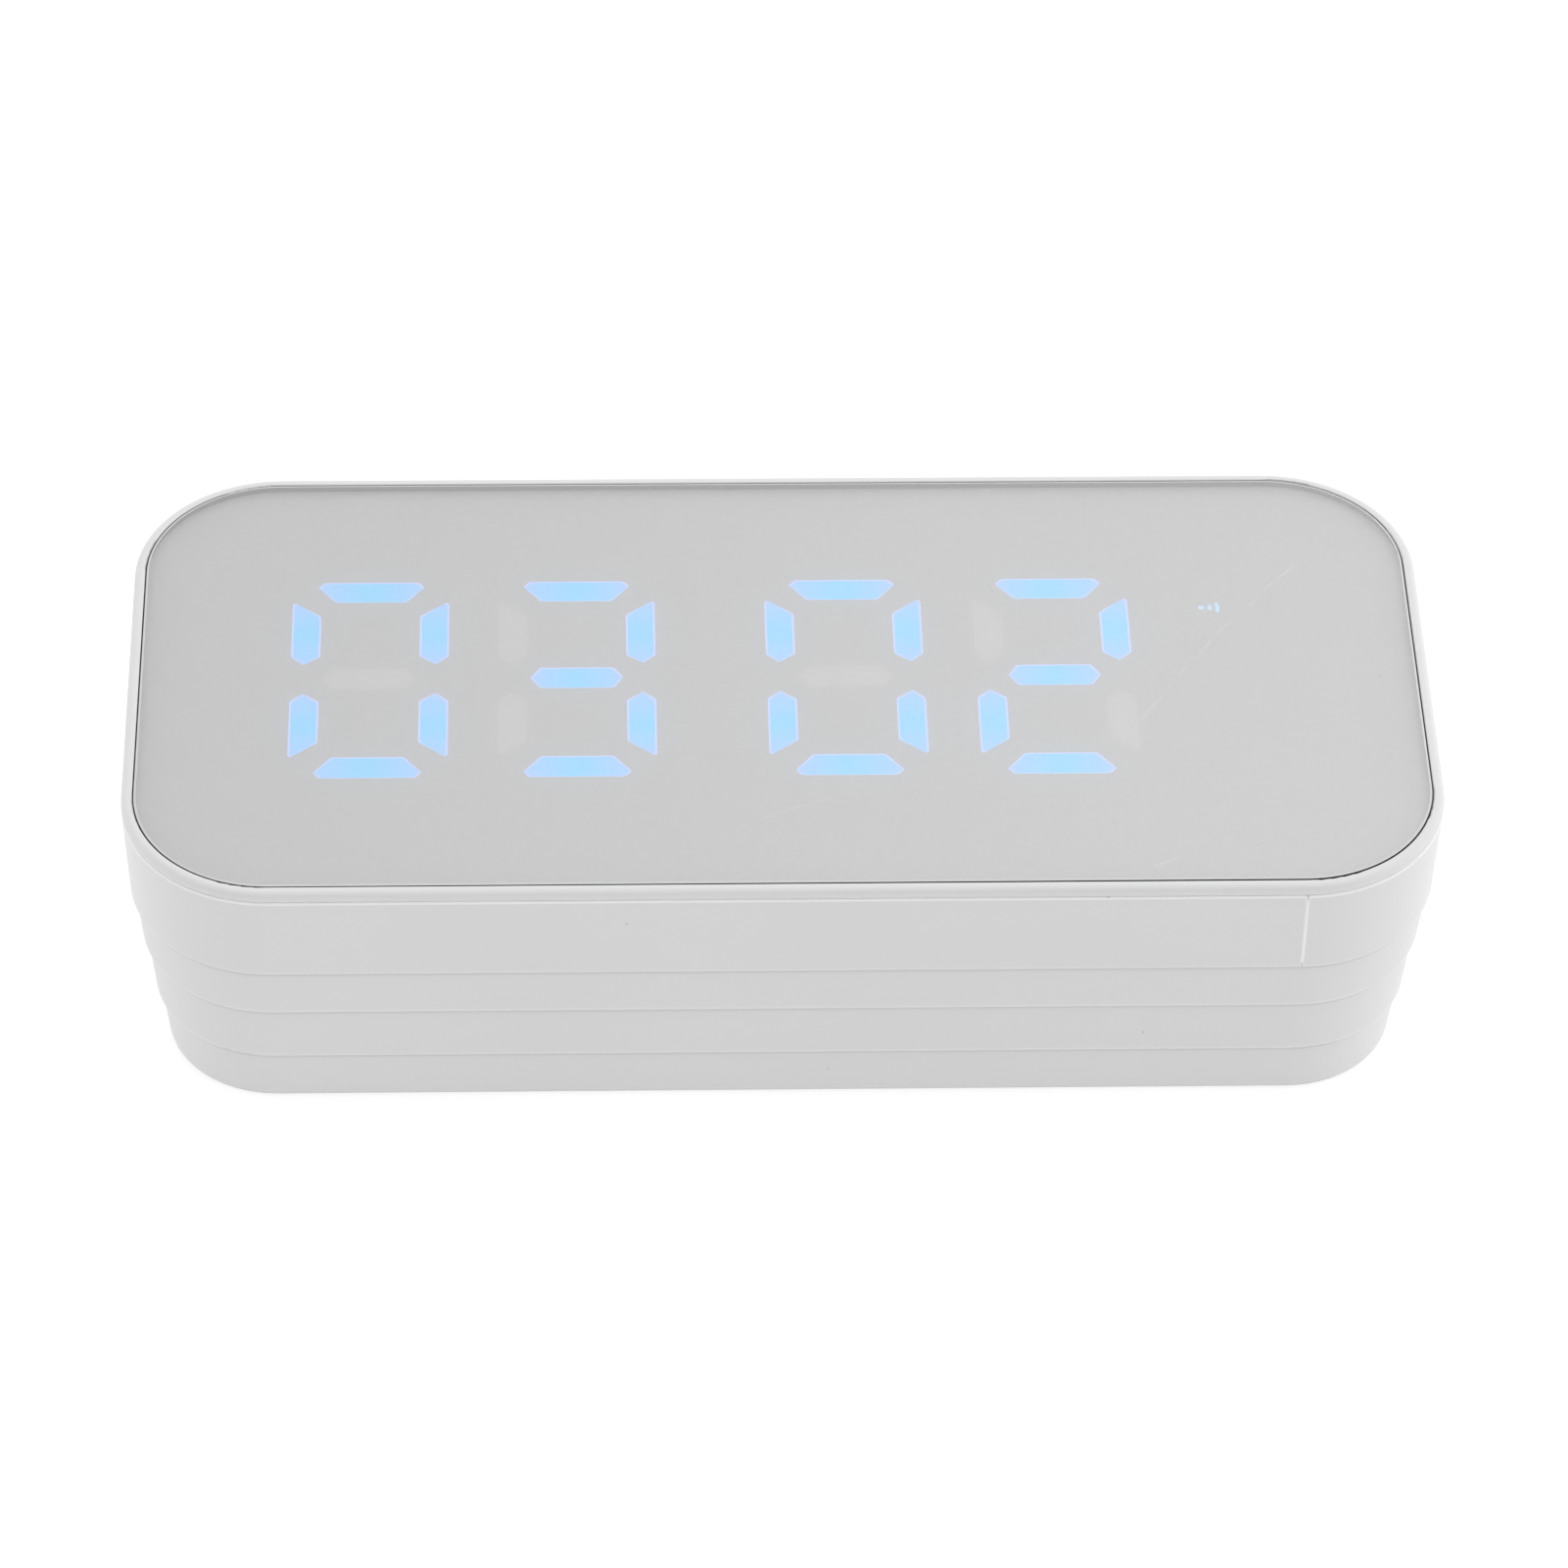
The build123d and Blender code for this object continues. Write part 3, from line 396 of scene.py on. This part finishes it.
materials = {
    "housing_white": case_white,
    "belt_white": belt_white,
    "button_white": button_white,
    "tape_black": open_grain("foam_tape", (0.02, 0.02, 0.02), (0.035, 0.035, 0.035), 0.4 * MM),
    "reflector_white": moulding("reflector_plastic", (0.78, 0.78, 0.76), (0.72, 0.72, 0.70), 0.6 * MM),
    "segment_dark": unlit_bar,
    "board_green": solder_mask(),
    "led_yellow": open_grain("phosphor", (0.85, 0.74, 0.22), (0.75, 0.62, 0.15), 0.2 * MM, 0.1),
    "screw_steel": drawn_metal("zinc_plate", (0.60, 0.60, 0.61), (0.48, 0.48, 0.50)),
    "shield_steel": drawn_metal("tinned_shell", (0.68, 0.68, 0.69), (0.58, 0.58, 0.60)),
    "chip_black": moulding("chip_black", (0.018, 0.018, 0.02), (0.03, 0.03, 0.032), 0.3 * MM),
    "capacitor_can": drawn_metal("capacitor_can", (0.50, 0.51, 0.54), (0.40, 0.40, 0.43)),
    "socket_white": moulding("nylon_socket", (0.72, 0.70, 0.62), (0.66, 0.64, 0.57), 0.4 * MM),
    "ribbon_white": drawn_metal("ribbon_flex", (0.75, 0.75, 0.76), (0.40, 0.40, 0.42), (0.4, 0.6), ALONG_X),
    "battery_can": moulding("shrink_sleeve", (0.02, 0.12, 0.42), (0.03, 0.16, 0.5), 3.0 * MM, (0.2, 0.32)),
    "foam_grey": open_grain("open_foam", (0.05, 0.05, 0.052), (0.12, 0.12, 0.12), 0.8 * MM, 0.9),
    "lead_red": moulding("lead_insulation", (0.45, 0.02, 0.015), (0.36, 0.015, 0.012), 0.8 * MM),
    "speaker_steel": moulding("stove_enamel", (0.02, 0.02, 0.022), (0.03, 0.03, 0.03), 0.4 * MM),
    "magnet_dark": open_grain("ferrite", (0.05, 0.05, 0.052), (0.09, 0.09, 0.09), 0.5 * MM, 0.3),
    "cone_paper": open_grain("pulp_cone", (0.02, 0.02, 0.02), (0.05, 0.05, 0.048), 0.5 * MM, 0.8),
    "coil_copper": drawn_metal("enamelled_copper", (0.72, 0.30, 0.13), (0.55, 0.2, 0.08), (0.2, 0.3), ALONG_Z),
    "surround_rubber": open_grain("rolled_rubber", (0.015, 0.015, 0.015), (0.03, 0.03, 0.03), 0.6 * MM, 0.3),
    "cloth_grey": woven_mesh("acoustic_mesh", (0.10, 0.10, 0.105), (0.012, 0.012, 0.012), 0.45 * MM),
    "segment_lit": glowing("lit_mark", MARK_BLUE, MARK_BLUE, MARK_BLUE, 1.6),
}

for node, part in frame["nodes"].items():
    surface = materials.get(slot_of[node])
    for place in part.material_slots:
        if surface:
            place.material = unlit_dot if node == "colon_dots" else surface


# ---------------------------------------------------------------- outlines, in metres, counter-clockwise
def rounded_rectangle(half_x, half_y, radius, steps=24):
    points = []
    for quarter, (side_x, side_y) in enumerate(((1, 1), (-1, 1), (-1, -1), (1, -1))):
        for step in range(steps + 1):
            angle = math.pi / 2 * (quarter + step / steps)
            x = side_x * (half_x - radius) + radius * math.cos(angle)
            y = side_y * (half_y - radius) + radius * math.sin(angle)
            points.append((x, y))
    return points


def rectangle(half_x, half_y):
    return [(-half_x, -half_y), (half_x, -half_y), (half_x, half_y), (-half_x, half_y)]


def disc(radius, steps=24):
    turns = [2 * math.pi * step / steps for step in range(steps)]
    return [(radius * math.cos(turn), radius * math.sin(turn)) for turn in turns]


def arc_band(radius, width, start, end, steps=20):
    """Curved band between two angles in degrees."""
    turns = [math.radians(start + (end - start) * step / steps) for step in range(steps + 1)]
    outer = [((radius + width / 2) * math.cos(turn), (radius + width / 2) * math.sin(turn)) for turn in turns]
    inner = [((radius - width / 2) * math.cos(turn), (radius - width / 2) * math.sin(turn)) for turn in turns]
    return outer + inner[::-1]


def shifted(outline, x, y):
    return [(px + x, py + y) for px, py in outline]


def mirrored(outline):
    return [(-x, y) for x, y in reversed(outline)]


def inset(outline, distance):
    """Convex outline moved inwards by the same distance all round, or outwards if it is negative."""
    moved = []
    for i, corner in enumerate(outline):
        before = Vector(outline[i - 1])
        here = Vector(corner)
        after = Vector(outline[(i + 1) % len(outline)])
        first = (here - before).normalized()
        second = (after - here).normalized()
        normals = Vector((-first.y - second.y, first.x + second.x))
        share = distance / (1.0 + first.dot(second))
        moved.append(tuple(here + normals * share))
    return moved


def softened(outline, radius, gap=0.9 * MM, steps=3):
    """Outline with short curves for corners, and points no further apart than gap on its straight runs."""
    points = []
    for i, corner in enumerate(outline):
        before = Vector(outline[i - 1])
        here = Vector(corner)
        after = Vector(outline[(i + 1) % len(outline)])
        start = here + (before - here).normalized() * min(radius, (before - here).length * 0.4)
        end = here + (after - here).normalized() * min(radius, (after - here).length * 0.4)
        for step in range(steps + 1):
            t = step / steps
            points.append(start * (1 - t) ** 2 + here * (2 * t * (1 - t)) + end * t**2)
    spaced = []
    for point, following in zip(points, points[1:] + points[:1]):
        parts = max(1, math.ceil((following - point).length / gap))
        spaced += [tuple(point.lerp(following, part / parts)) for part in range(parts)]
    return spaced


# ---------------------------------------------------------------- mesh helpers
def ring(bm, outline, place):
    """Loop of vertices for an outline; place turns an outline point into a position."""
    return [bm.verts.new(place(x, y)) for x, y in outline]


def skin(bm, rings, indices, smooth=True):
    """Strips of faces between loops with equal point counts, each with a material index."""
    for lower, upper, index in zip(rings, rings[1:], indices):
        for i in range(len(lower)):
            after = (i + 1) % len(lower)
            face = bm.faces.new((lower[i], lower[after], upper[after], upper[i]))
            face.material_index = index
            face.smooth = smooth


def finished(name, bm, surfaces, body="root"):
    """Object made from a bmesh, with its materials and the body that it rides on."""
    bmesh.ops.recalc_face_normals(bm, faces=bm.faces)
    mesh = bpy.data.meshes.new(name)
    bm.to_mesh(mesh)
    bm.free()
    for surface in surfaces:
        mesh.materials.append(surface)
    piece = bpy.data.objects.new(name, mesh)
    bpy.context.scene.collection.objects.link(piece)
    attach(piece, body)
    return piece


def plate(name, outlines, place, thickness, surface, body):
    """Thin closed piece from flat outlines; place turns a point and a height into a position."""
    bm = bmesh.new()
    for outline in outlines:
        lower = ring(bm, outline, lambda x, y: place(x, y, 0.0))
        upper = ring(bm, outline, lambda x, y: place(x, y, thickness))
        skin(bm, (lower, upper), (0,), smooth=False)
        bm.faces.new(reversed(lower))
        bm.faces.new(upper)
    return finished(name, bm, (surface,), body)


# ---------------------------------------------------------------- display
BAR_THICKNESS = 3.6
UPRIGHT_WIDTH = 3.45
HALF_DIGIT_WIDTH = 9.25
HALF_DIGIT_HEIGHT = 17.2
TIP_ROUND = 0.14 * MM
# Width of the pale band round a bar, and how much wider it is at the bar's left and right
PALE_BAND = 0.24 * MM
BAND_STRETCH = 1.35
GUIDE_OVERLAP = 0.10 * MM
GUIDE_PROUD = 0.02 * MM
GUIDE_DEPTH = 0.60 * MM
COLON_RADIUS = 1.4 * MM
CORE, BAND = range(2)
DIGITS = "0302"
SEGMENTS_OF = {"0": "abcdef", "2": "abdeg", "3": "abcdg"}


def bar_corners(segment):
    """Corners of one bar, in metres from the middle of its digit."""
    inside_x = HALF_DIGIT_WIDTH - UPRIGHT_WIDTH
    inside_y = HALF_DIGIT_HEIGHT - BAR_THICKNESS
    half = BAR_THICKNESS / 2
    if segment == "g":
        right = [(4.35, -half), (5.45, 0.0), (4.35, half)]
        points = right + [(-x, y) for x, y in reversed(right)]
    elif segment in "ad":
        right = [(4.2, inside_y), (6.3, HALF_DIGIT_HEIGHT - 0.9), (5.55, HALF_DIGIT_HEIGHT)]
        points = right + [(-x, y) for x, y in reversed(right)]
    else:
        points = [
            (HALF_DIGIT_WIDTH, 3.9),
            (HALF_DIGIT_WIDTH, 13.35),
            (HALF_DIGIT_WIDTH - 0.35, 13.55),
            (inside_x, 11.1),
            (inside_x, 3.95),
            (HALF_DIGIT_WIDTH - 1.5, 2.5),
        ]
    flip_x = -1 if segment in "ef" else 1
    flip_y = -1 if segment in "cde" else 1
    points = [(flip_x * x * MM, flip_y * y * MM) for x, y in points]
    return points if flip_x * flip_y > 0 else points[::-1]


def digit_middle(number):
    """Middle of a digit, from its lit and dark light guides together."""
    corners = [*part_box(f"digit_{number}_lit_segments"), *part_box(f"digit_{number}_dark_segments")]
    low = Vector(map(min, *corners))
    high = Vector(map(max, *corners))
    return (low + high) / 2


def build_lit_bars(number, text, surfaces):
    """The lit light guides of one digit: a pale band round a glowing core on each bar."""
    node = f"digit_{number}_lit_segments"
    middle = digit_middle(number)
    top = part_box(node)[1].z + GUIDE_PROUD
    bm = bmesh.new()
    reach = bm.verts.layers.float.new("reach")
    for segment in SEGMENTS_OF[text]:
        corners = bar_corners(segment)
        lowest = Vector(map(min, *corners))
        highest = Vector(map(max, *corners))
        hub = (lowest + highest) / 2
        half = (highest - lowest) / 2
        long_axis = 0 if half.x > half.y else 1
        outer = softened(inset(corners, -GUIDE_OVERLAP), TIP_ROUND)
        core = [
            (x - (x - hub.x) / half.x * PALE_BAND * BAND_STRETCH, y - (y - hub.y) / half.y * PALE_BAND)
            for x, y in outer
        ]
        heart = [(hub.x + (x - hub.x) * 0.5, hub.y + (y - hub.y) * 0.5) for x, y in core]
        levels = ((outer, top - GUIDE_DEPTH), (outer, top), (core, top), (heart, top))
        rings = [
            ring(bm, outline, lambda x, y, z=z: (middle.x + x, middle.y + y, z)) for outline, z in levels
        ]
        for loop, (outline, _) in zip(rings, levels):
            for vertex, point in zip(loop, outline):
                vertex[reach] = abs(point[long_axis] - hub[long_axis]) / half[long_axis]
        skin(bm, rings, (BAND, BAND, CORE), smooth=False)
        bm.faces.new(reversed(rings[0])).material_index = BAND
        centre = bm.verts.new((middle.x + hub.x, middle.y + hub.y, top))
        for i, vertex in enumerate(rings[-1]):
            bm.faces.new((rings[-1][i - 1], vertex, centre))
    piece = finished(f"digit_{number}_glow", bm, surfaces)
    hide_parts(node)


lit_core = glowing("lit_core", (0.05, 0.50, 0.88), (0.12, 0.48, 0.90), (0.20, 0.455, 0.92), 1.5)
lit_band = glowing("lit_band", (0.39, 0.50, 0.88), (0.40, 0.49, 0.88), (0.41, 0.485, 0.88), 1.5)
for index, text in enumerate(DIGITS):
    build_lit_bars(index + 1, text, (lit_core, lit_band))


WAVE_LEFT = -1.0 * MM
WAVE_DOT = 0.36 * MM
WAVE_RADII = (1.05 * MM, 1.95 * MM)
WAVE_STROKE = 0.42 * MM
WAVE_ANGLE = 26


def wave_sign():
    """Generic wireless sign: a dot with two waves."""
    shapes = [disc(WAVE_DOT)]
    for radius in WAVE_RADII:
        shapes.append(arc_band(radius, WAVE_STROKE, -WAVE_ANGLE, WAVE_ANGLE))
    return [shifted(shape, WAVE_LEFT, 0.0) for shape in shapes]


# Material indices of the mirror's faces
MIRROR_FACE, BEVEL, SIDE, FILM, CLEAR_PANE, UNLIT_BAR_PANE, UNLIT_DOT_PANE = range(7)


def display_windows():
    """Outlines of the film's windows, each with its material index."""
    windows = []
    for index, text in enumerate(DIGITS):
        middle = digit_middle(index + 1)
        for segment in "abcdefg":
            outline = softened(bar_corners(segment), TIP_ROUND)
            pane = CLEAR_PANE if segment in SEGMENTS_OF[text] else UNLIT_BAR_PANE
            windows.append((shifted(outline, middle.x, middle.y), pane))
    low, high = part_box("colon_dots")
    for y in (low.y + COLON_RADIUS, high.y - COLON_RADIUS):
        windows.append((shifted(disc(COLON_RADIUS, 36), (low.x + high.x) / 2, y), UNLIT_DOT_PANE))
    low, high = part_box("indicator_light")
    for shape in wave_sign():
        windows.append((shifted(shape, (low.x + high.x) / 2, (low.y + high.y) / 2), CLEAR_PANE))
    return windows


# ---------------------------------------------------------------- mirror
MIRROR_CORNER = 15.68 * MM
MIRROR_BEVEL = 0.28 * MM
EDGE_TOP = 0.12 * MM
FILM_LIFT = 0.02 * MM
GAP_CLOSED = 0.11 * MM
GAP_OPEN_LEFT = 0.10 * MM
GAP_OPEN_RIGHT = 0.21 * MM


def build_mirror():
    """Half-mirror sheet: silvered face, pale bevel, a near-black edge that partly stands in for the shade of
    the gap round the sheet, and a film with windows on its back.
    """
    half_x = (mirror_high.x - mirror_low.x) / 2
    half_y = (mirror_high.y - mirror_low.y) / 2
    outline = rounded_rectangle(half_x, half_y, MIRROR_CORNER)
    face = rounded_rectangle(half_x - MIRROR_BEVEL, half_y - MIRROR_BEVEL, MIRROR_CORNER - MIRROR_BEVEL)

    def seated(x, y, z):
        """The sheet sits a little unevenly, so the gap on its near side opens towards the corners."""
        near = min(max(-y / half_y, 0.0), 1.0) ** 4
        opening = GAP_OPEN_RIGHT if x > 0 else GAP_OPEN_LEFT
        return (x, y + near * (opening * abs(x) / half_x - GAP_CLOSED), z)

    bm = bmesh.new()
    film_z = mirror_low.z + FILM_LIFT
    levels = [(0.0, film_z), (0.0, mirror_high.z - MIRROR_BEVEL - EDGE_TOP)]
    for degrees in (0, 25, 50, 70, 90):
        turn = math.radians(degrees)
        levels.append((1 - math.cos(turn), mirror_high.z - MIRROR_BEVEL * (1 - math.sin(turn)) * 0.5))
    rings = []
    for share, z in levels:
        blend = [(x + (fx - x) * share, y + (fy - y) * share) for (x, y), (fx, fy) in zip(outline, face)]
        rings.append(ring(bm, blend, lambda x, y, z=z: seated(x, y, z)))
    skin(bm, rings, (SIDE, SIDE, SIDE, BEVEL, BEVEL, BEVEL))
    bm.faces.new(rings[-1]).material_index = MIRROR_FACE

    film_edges = [bm.edges.get((rings[0][i - 1], rings[0][i])) for i in range(len(rings[0]))]
    panes = []
    for window, index in display_windows():
        pane = bm.faces.new(ring(bm, window, lambda x, y: (x, y, film_z)))
        panes.append((pane, index))
        film_edges += pane.edges
    film = bmesh.ops.triangle_fill(bm, edges=film_edges, use_beauty=True)["geom"]
    for face in film:
        if isinstance(face, bmesh.types.BMFace):
            face.material_index = FILM
    for pane, index in panes:
        pane.material_index = index
    surfaces = (
        half_mirror(),
        sheet_edge("mirror_bevel", (0.57, 0.57, 0.57), (0.61, 0.61, 0.61), (0.12, 0.25)),
        # Near-black side wall: partly painted shade, so that the narrow gap round the sheet reads dark
        sheet_edge("mirror_side", (0.014, 0.011, 0.010), (0.03, 0.024, 0.02), (0.3, 0.5)),
        mirror_film(),
        clear_window(),
        unlit_bar,
        unlit_dot,
    )
    sheet = finished("mirror_sheet", bm, surfaces)
    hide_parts("mirror_panel")


build_mirror()

# ---------------------------------------------------------------- belt seam
SEAM_X = 59.05 * MM
SEAM_HALF_WIDTH = 0.15 * MM
SEAM_PROUD = 0.05 * MM
SEAM_ROOT = 0.5 * MM
SEAM_STEPS = 12
BELT_LEAN = 0.52 * MM


def build_seam():
    """Welded bead that fills the joint of the belt and follows its slope, whiter than the belt as a painted
    highlight.
    """
    low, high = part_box("trim_belt")
    top = high.z - 0.10 * MM
    bottom = low.z + 0.12 * MM
    bm = bmesh.new()
    rings = []
    for step in range(SEAM_STEPS + 1):
        z = top + (bottom - top) * step / SEAM_STEPS
        lean = BELT_LEAN * (high.z - z) / (high.z - low.z)
        ends = min(step, SEAM_STEPS - step, 1)
        face = low.y + lean + (0.0 if ends else 0.2 * MM)
        crown = SEAM_PROUD * (1.0 + 0.25 * math.sin(2.1 * step)) * ends
        section = [(-SEAM_HALF_WIDTH, SEAM_ROOT), (-SEAM_HALF_WIDTH, 0.02 * MM)]
        for turn in range(1, 8):
            angle = math.pi * turn / 8
            section.append((-SEAM_HALF_WIDTH * math.cos(angle), -crown * math.sin(angle)))
        section += [(SEAM_HALF_WIDTH, 0.02 * MM), (SEAM_HALF_WIDTH, SEAM_ROOT)]
        rings.append(ring(bm, section, lambda x, y, z=z, face=face: (SEAM_X + x, max(face + y, low.y), z)))
    skin(bm, rings, [0] * SEAM_STEPS)
    bm.faces.new(rings[0])
    bm.faces.new(reversed(rings[-1]))
    # Painted highlight: the bead is whiter than the belt so that the seam reads as a bright line
    weld_painted_highlight = moulding("seam_weld", (0.86, 0.86, 0.86), (0.82, 0.82, 0.82), 0.5 * MM, (0.2, 0.3))
    finished("belt_seam", bm, (weld_painted_highlight,))


build_seam()

# ---------------------------------------------------------------- buttons
BUTTON_EDGE = 0.45 * MM
BUTTON_SIZE = (11.0, 5.4)
FLANGE_HEIGHT = 0.6 * MM
DISH_DEPTH = 0.12 * MM
DISH_SLOPE = 0.75 * MM
STROKE = 0.28 * MM
SIGN_THICKNESS = 0.04 * MM
TRIANGLE = [(-0.75 * MM, -0.95 * MM), (0.95 * MM, 0.0), (-0.75 * MM, 0.95 * MM)]
SKIP = [shifted(TRIANGLE, -0.2 * MM, 0.0), shifted(rectangle(STROKE / 2, 0.95 * MM), 1.05 * MM, 0.0)]
BUTTON_SIGNS = {
    "power": [arc_band(0.95 * MM, STROKE, -235, 55), shifted(rectangle(STROKE / 2, 0.55 * MM), 0.0, 0.75 * MM)],
    "previous": [mirrored(shape) for shape in SKIP],
    "play": [TRIANGLE],
    "next": SKIP,
    "alarm": [
        arc_band(0.85 * MM, STROKE, 0, 170),
        arc_band(0.85 * MM, STROKE, 170, 360),
        shifted(rectangle(STROKE / 2, 0.3 * MM), 0.0, 0.2 * MM),
        arc_band(1.4 * MM, STROKE, 40, 68),
        arc_band(1.4 * MM, STROKE, 112, 140),
    ],
}


def pill(half_length, radius, steps=16):
    """Pill-shaped outline round the origin."""
    points = []
    for side in (0, 1):
        for step in range(steps + 1):
            angle = math.radians(-90 + 180 * side + 180 * step / steps)
            shift = (half_length - radius) * (1 if side == 0 else -1)
            points.append((shift + radius * math.cos(angle), radius * math.sin(angle)))
    return points


def build_button(name, shapes):
    """Push button with a flange, a rounded edge, a shallow dish for the finger and its sign in the dish."""
    node = f"{name}_button"
    low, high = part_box(node)
    middle = (low + high) / 2
    flange_grow = (high.z - low.z) / 2 - BUTTON_SIZE[1] / 2 * MM
    tall = high.y - low.y
    profile = [(0.0, flange_grow), (FLANGE_HEIGHT, flange_grow), (FLANGE_HEIGHT, 0.0)]
    for degrees in (0, 20, 40, 60, 75, 90):
        turn = math.radians(degrees)
        profile.append((tall - BUTTON_EDGE * (1 - math.sin(turn)), -BUTTON_EDGE * (1 - math.cos(turn))))
    for share in (0.15, 0.5, 0.85, 1.0):
        profile.append((tall - DISH_DEPTH * share**0.7, -BUTTON_EDGE - DISH_SLOPE * share))
    bm = bmesh.new()
    rings = []
    for height, grow in profile:
        outline = pill(BUTTON_SIZE[0] / 2 * MM + grow, BUTTON_SIZE[1] / 2 * MM + grow)
        rings.append(ring(bm, outline, lambda x, z, y=low.y + height: (middle.x - x, y, middle.z + z)))
    skin(bm, rings, [0] * (len(rings) - 1))
    bm.faces.new(reversed(rings[0]))
    bm.faces.new(rings[-1])
    cap = finished(f"{name}_cap", bm, (button_white,), f"{name}_key")
    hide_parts(node)
    dish = high.y - DISH_DEPTH - SIGN_THICKNESS / 2
    plate(
        f"{name}_sign",
        shapes,
        lambda x, z, lift: (middle.x - x, dish + lift, middle.z + z),
        SIGN_THICKNESS,
        print_grey,
        f"{name}_key",
    )


print_grey = moulding("sign_print", (0.20, 0.21, 0.23), (0.25, 0.26, 0.28), 0.2 * MM)
for name, shapes in BUTTON_SIGNS.items():
    build_button(name, shapes)

# ---------------------------------------------------------------- floor, light and camera
FLOOR_REACH = 6.0
FLOOR_GLOW = 0.70


def build_floor():
    bm = bmesh.new()
    bm.faces.new(ring(bm, rectangle(FLOOR_REACH, FLOOR_REACH), lambda x, y: (x, y, 0.0)))
    mesh = bpy.data.meshes.new("floor")
    bm.to_mesh(mesh)
    bm.free()
    floor = bpy.data.objects.new("floor", mesh)
    bpy.context.scene.collection.objects.link(floor)
    finish = Finish("floor_paper", specular=0.1)
    fibres = finish.noise(0.3, 2.0)
    finish.colour(finish.mix(fibres, (0.42, 0.42, 0.42), (0.40, 0.40, 0.40)))
    finish.roughness(fibres, 0.8, 0.9)
    finish.shader.inputs["Emission Color"].default_value = (1.0, 1.0, 1.0, 1.0)
    finish.shader.inputs["Emission Strength"].default_value = FLOOR_GLOW
    mesh.materials.append(finish.material)


build_floor()

# Strength of the studio dome: towards the camera's side, elsewhere at the horizon, overhead, left and right,
# the share left on its left and right shoulders, and the gain low on its flanks
DOME_NEAR = 0.06
DOME_FAR = 1.16
DOME_TOP = 1.35
DOME_LEFT = 0.83
DOME_RIGHT = 1.11
DOME_SPLIT = 0.17
DOME_TURN = -0.50
DOME_SOFTNESS = 0.45
DOME_RISE = 0.40
DOME_CROWN = 0.95
DOME_SHOULDER = 0.62
DOME_FLANK = 1.60


def build_world():
    """Soft studio dome that is dimmer on the camera's side and brighter to the right."""
    world = bpy.data.worlds.new("studio")
    bpy.context.scene.world = world
    world.use_nodes = True
    nodes = world.node_tree.nodes
    links = world.node_tree.links
    direction = nodes.new("ShaderNodeSeparateXYZ")
    links.new(nodes.new("ShaderNodeTexCoord").outputs["Generated"], direction.inputs["Vector"])

    def spread(value, low, high, at_low, at_high):
        node = nodes.new("ShaderNodeMapRange")
        node.interpolation_type = "SMOOTHSTEP"
        for socket, number in zip(("From Min", "From Max", "To Min"), (low, high, at_low)):
            node.inputs[socket].default_value = number
        node.inputs["To Max"].default_value = at_high
        links.new(value, node.inputs["Value"])
        return node

    def combined(operation, first, second):
        node = nodes.new("ShaderNodeMath")
        node.operation = operation
        links.new(first, node.inputs[0])
        links.new(second, node.inputs[1])
        return node.outputs[0]

    x, y, z = direction.outputs
    horizon = spread(y, DOME_TURN - DOME_SOFTNESS, DOME_TURN, DOME_NEAR, DOME_FAR)
    height = spread(z, DOME_RISE, DOME_CROWN, 0.0, DOME_TOP)
    links.new(horizon.outputs["Result"], height.inputs["To Min"])
    sides = spread(x, -DOME_SPLIT, DOME_SPLIT, DOME_LEFT, DOME_RIGHT)
    sideways = combined("MULTIPLY", x, x)
    slant = combined("MULTIPLY", sideways, z)
    shoulders = spread(slant, 0.10, 0.30, 1.0, DOME_SHOULDER)
    strength = combined("MULTIPLY", height.outputs["Result"], sides.outputs["Result"])
    flanks = spread(sideways, 0.35, 0.85, 1.0, DOME_FLANK)
    strength = combined("MULTIPLY", strength, shoulders.outputs["Result"])
    strength = combined("MULTIPLY", strength, flanks.outputs["Result"])
    links.new(strength, nodes["Background"].inputs["Strength"])
    nodes["Background"].inputs["Color"].default_value = (1.0, 1.0, 1.0, 1.0)


build_world()


def softbox(name, place, size, power):
    """Large soft light aimed at the clock."""
    light = bpy.data.lights.new(name, "AREA")
    light.shape = "RECTANGLE"
    light.size = size[0]
    light.size_y = size[1]
    light.energy = power
    lamp = bpy.data.objects.new(name, light)
    lamp.location = place
    lamp.rotation_euler = (FACE - Vector(place)).to_track_quat("-Z", "Y").to_euler()
    bpy.context.scene.collection.objects.link(lamp)


softbox("overhead", (0.4, 0.3, 2.4), (1.6, 1.6), 3.0)

# The camera, in metres from the middle of the mirror's face, and the point of the face it aims at
CAMERA_OFFSET = Vector((-0.02332, -0.63317, 0.56097))
CAMERA_AIM = Vector((0.0, -0.0186, 0.0))
CAMERA_ROLL = math.radians(1.075)
CAMERA_LENS = 166.4
CAMERA_SENSOR = 36.0


def build_camera():
    camera = bpy.data.cameras.new("camera")
    camera.lens = CAMERA_LENS
    camera.sensor_width = CAMERA_SENSOR
    camera.clip_start = 0.05
    eye = bpy.data.objects.new("camera", camera)
    place = FACE + CAMERA_OFFSET
    look = (FACE + CAMERA_AIM - place).to_track_quat("-Z", "Y").to_matrix().to_4x4()
    eye.matrix_world = Matrix.Translation(place) @ look @ Matrix.Rotation(CAMERA_ROLL, 4, "Z")
    bpy.context.scene.collection.objects.link(eye)
    bpy.context.scene.camera = eye


build_camera()
bpy.context.scene.view_settings.view_transform = "Standard"
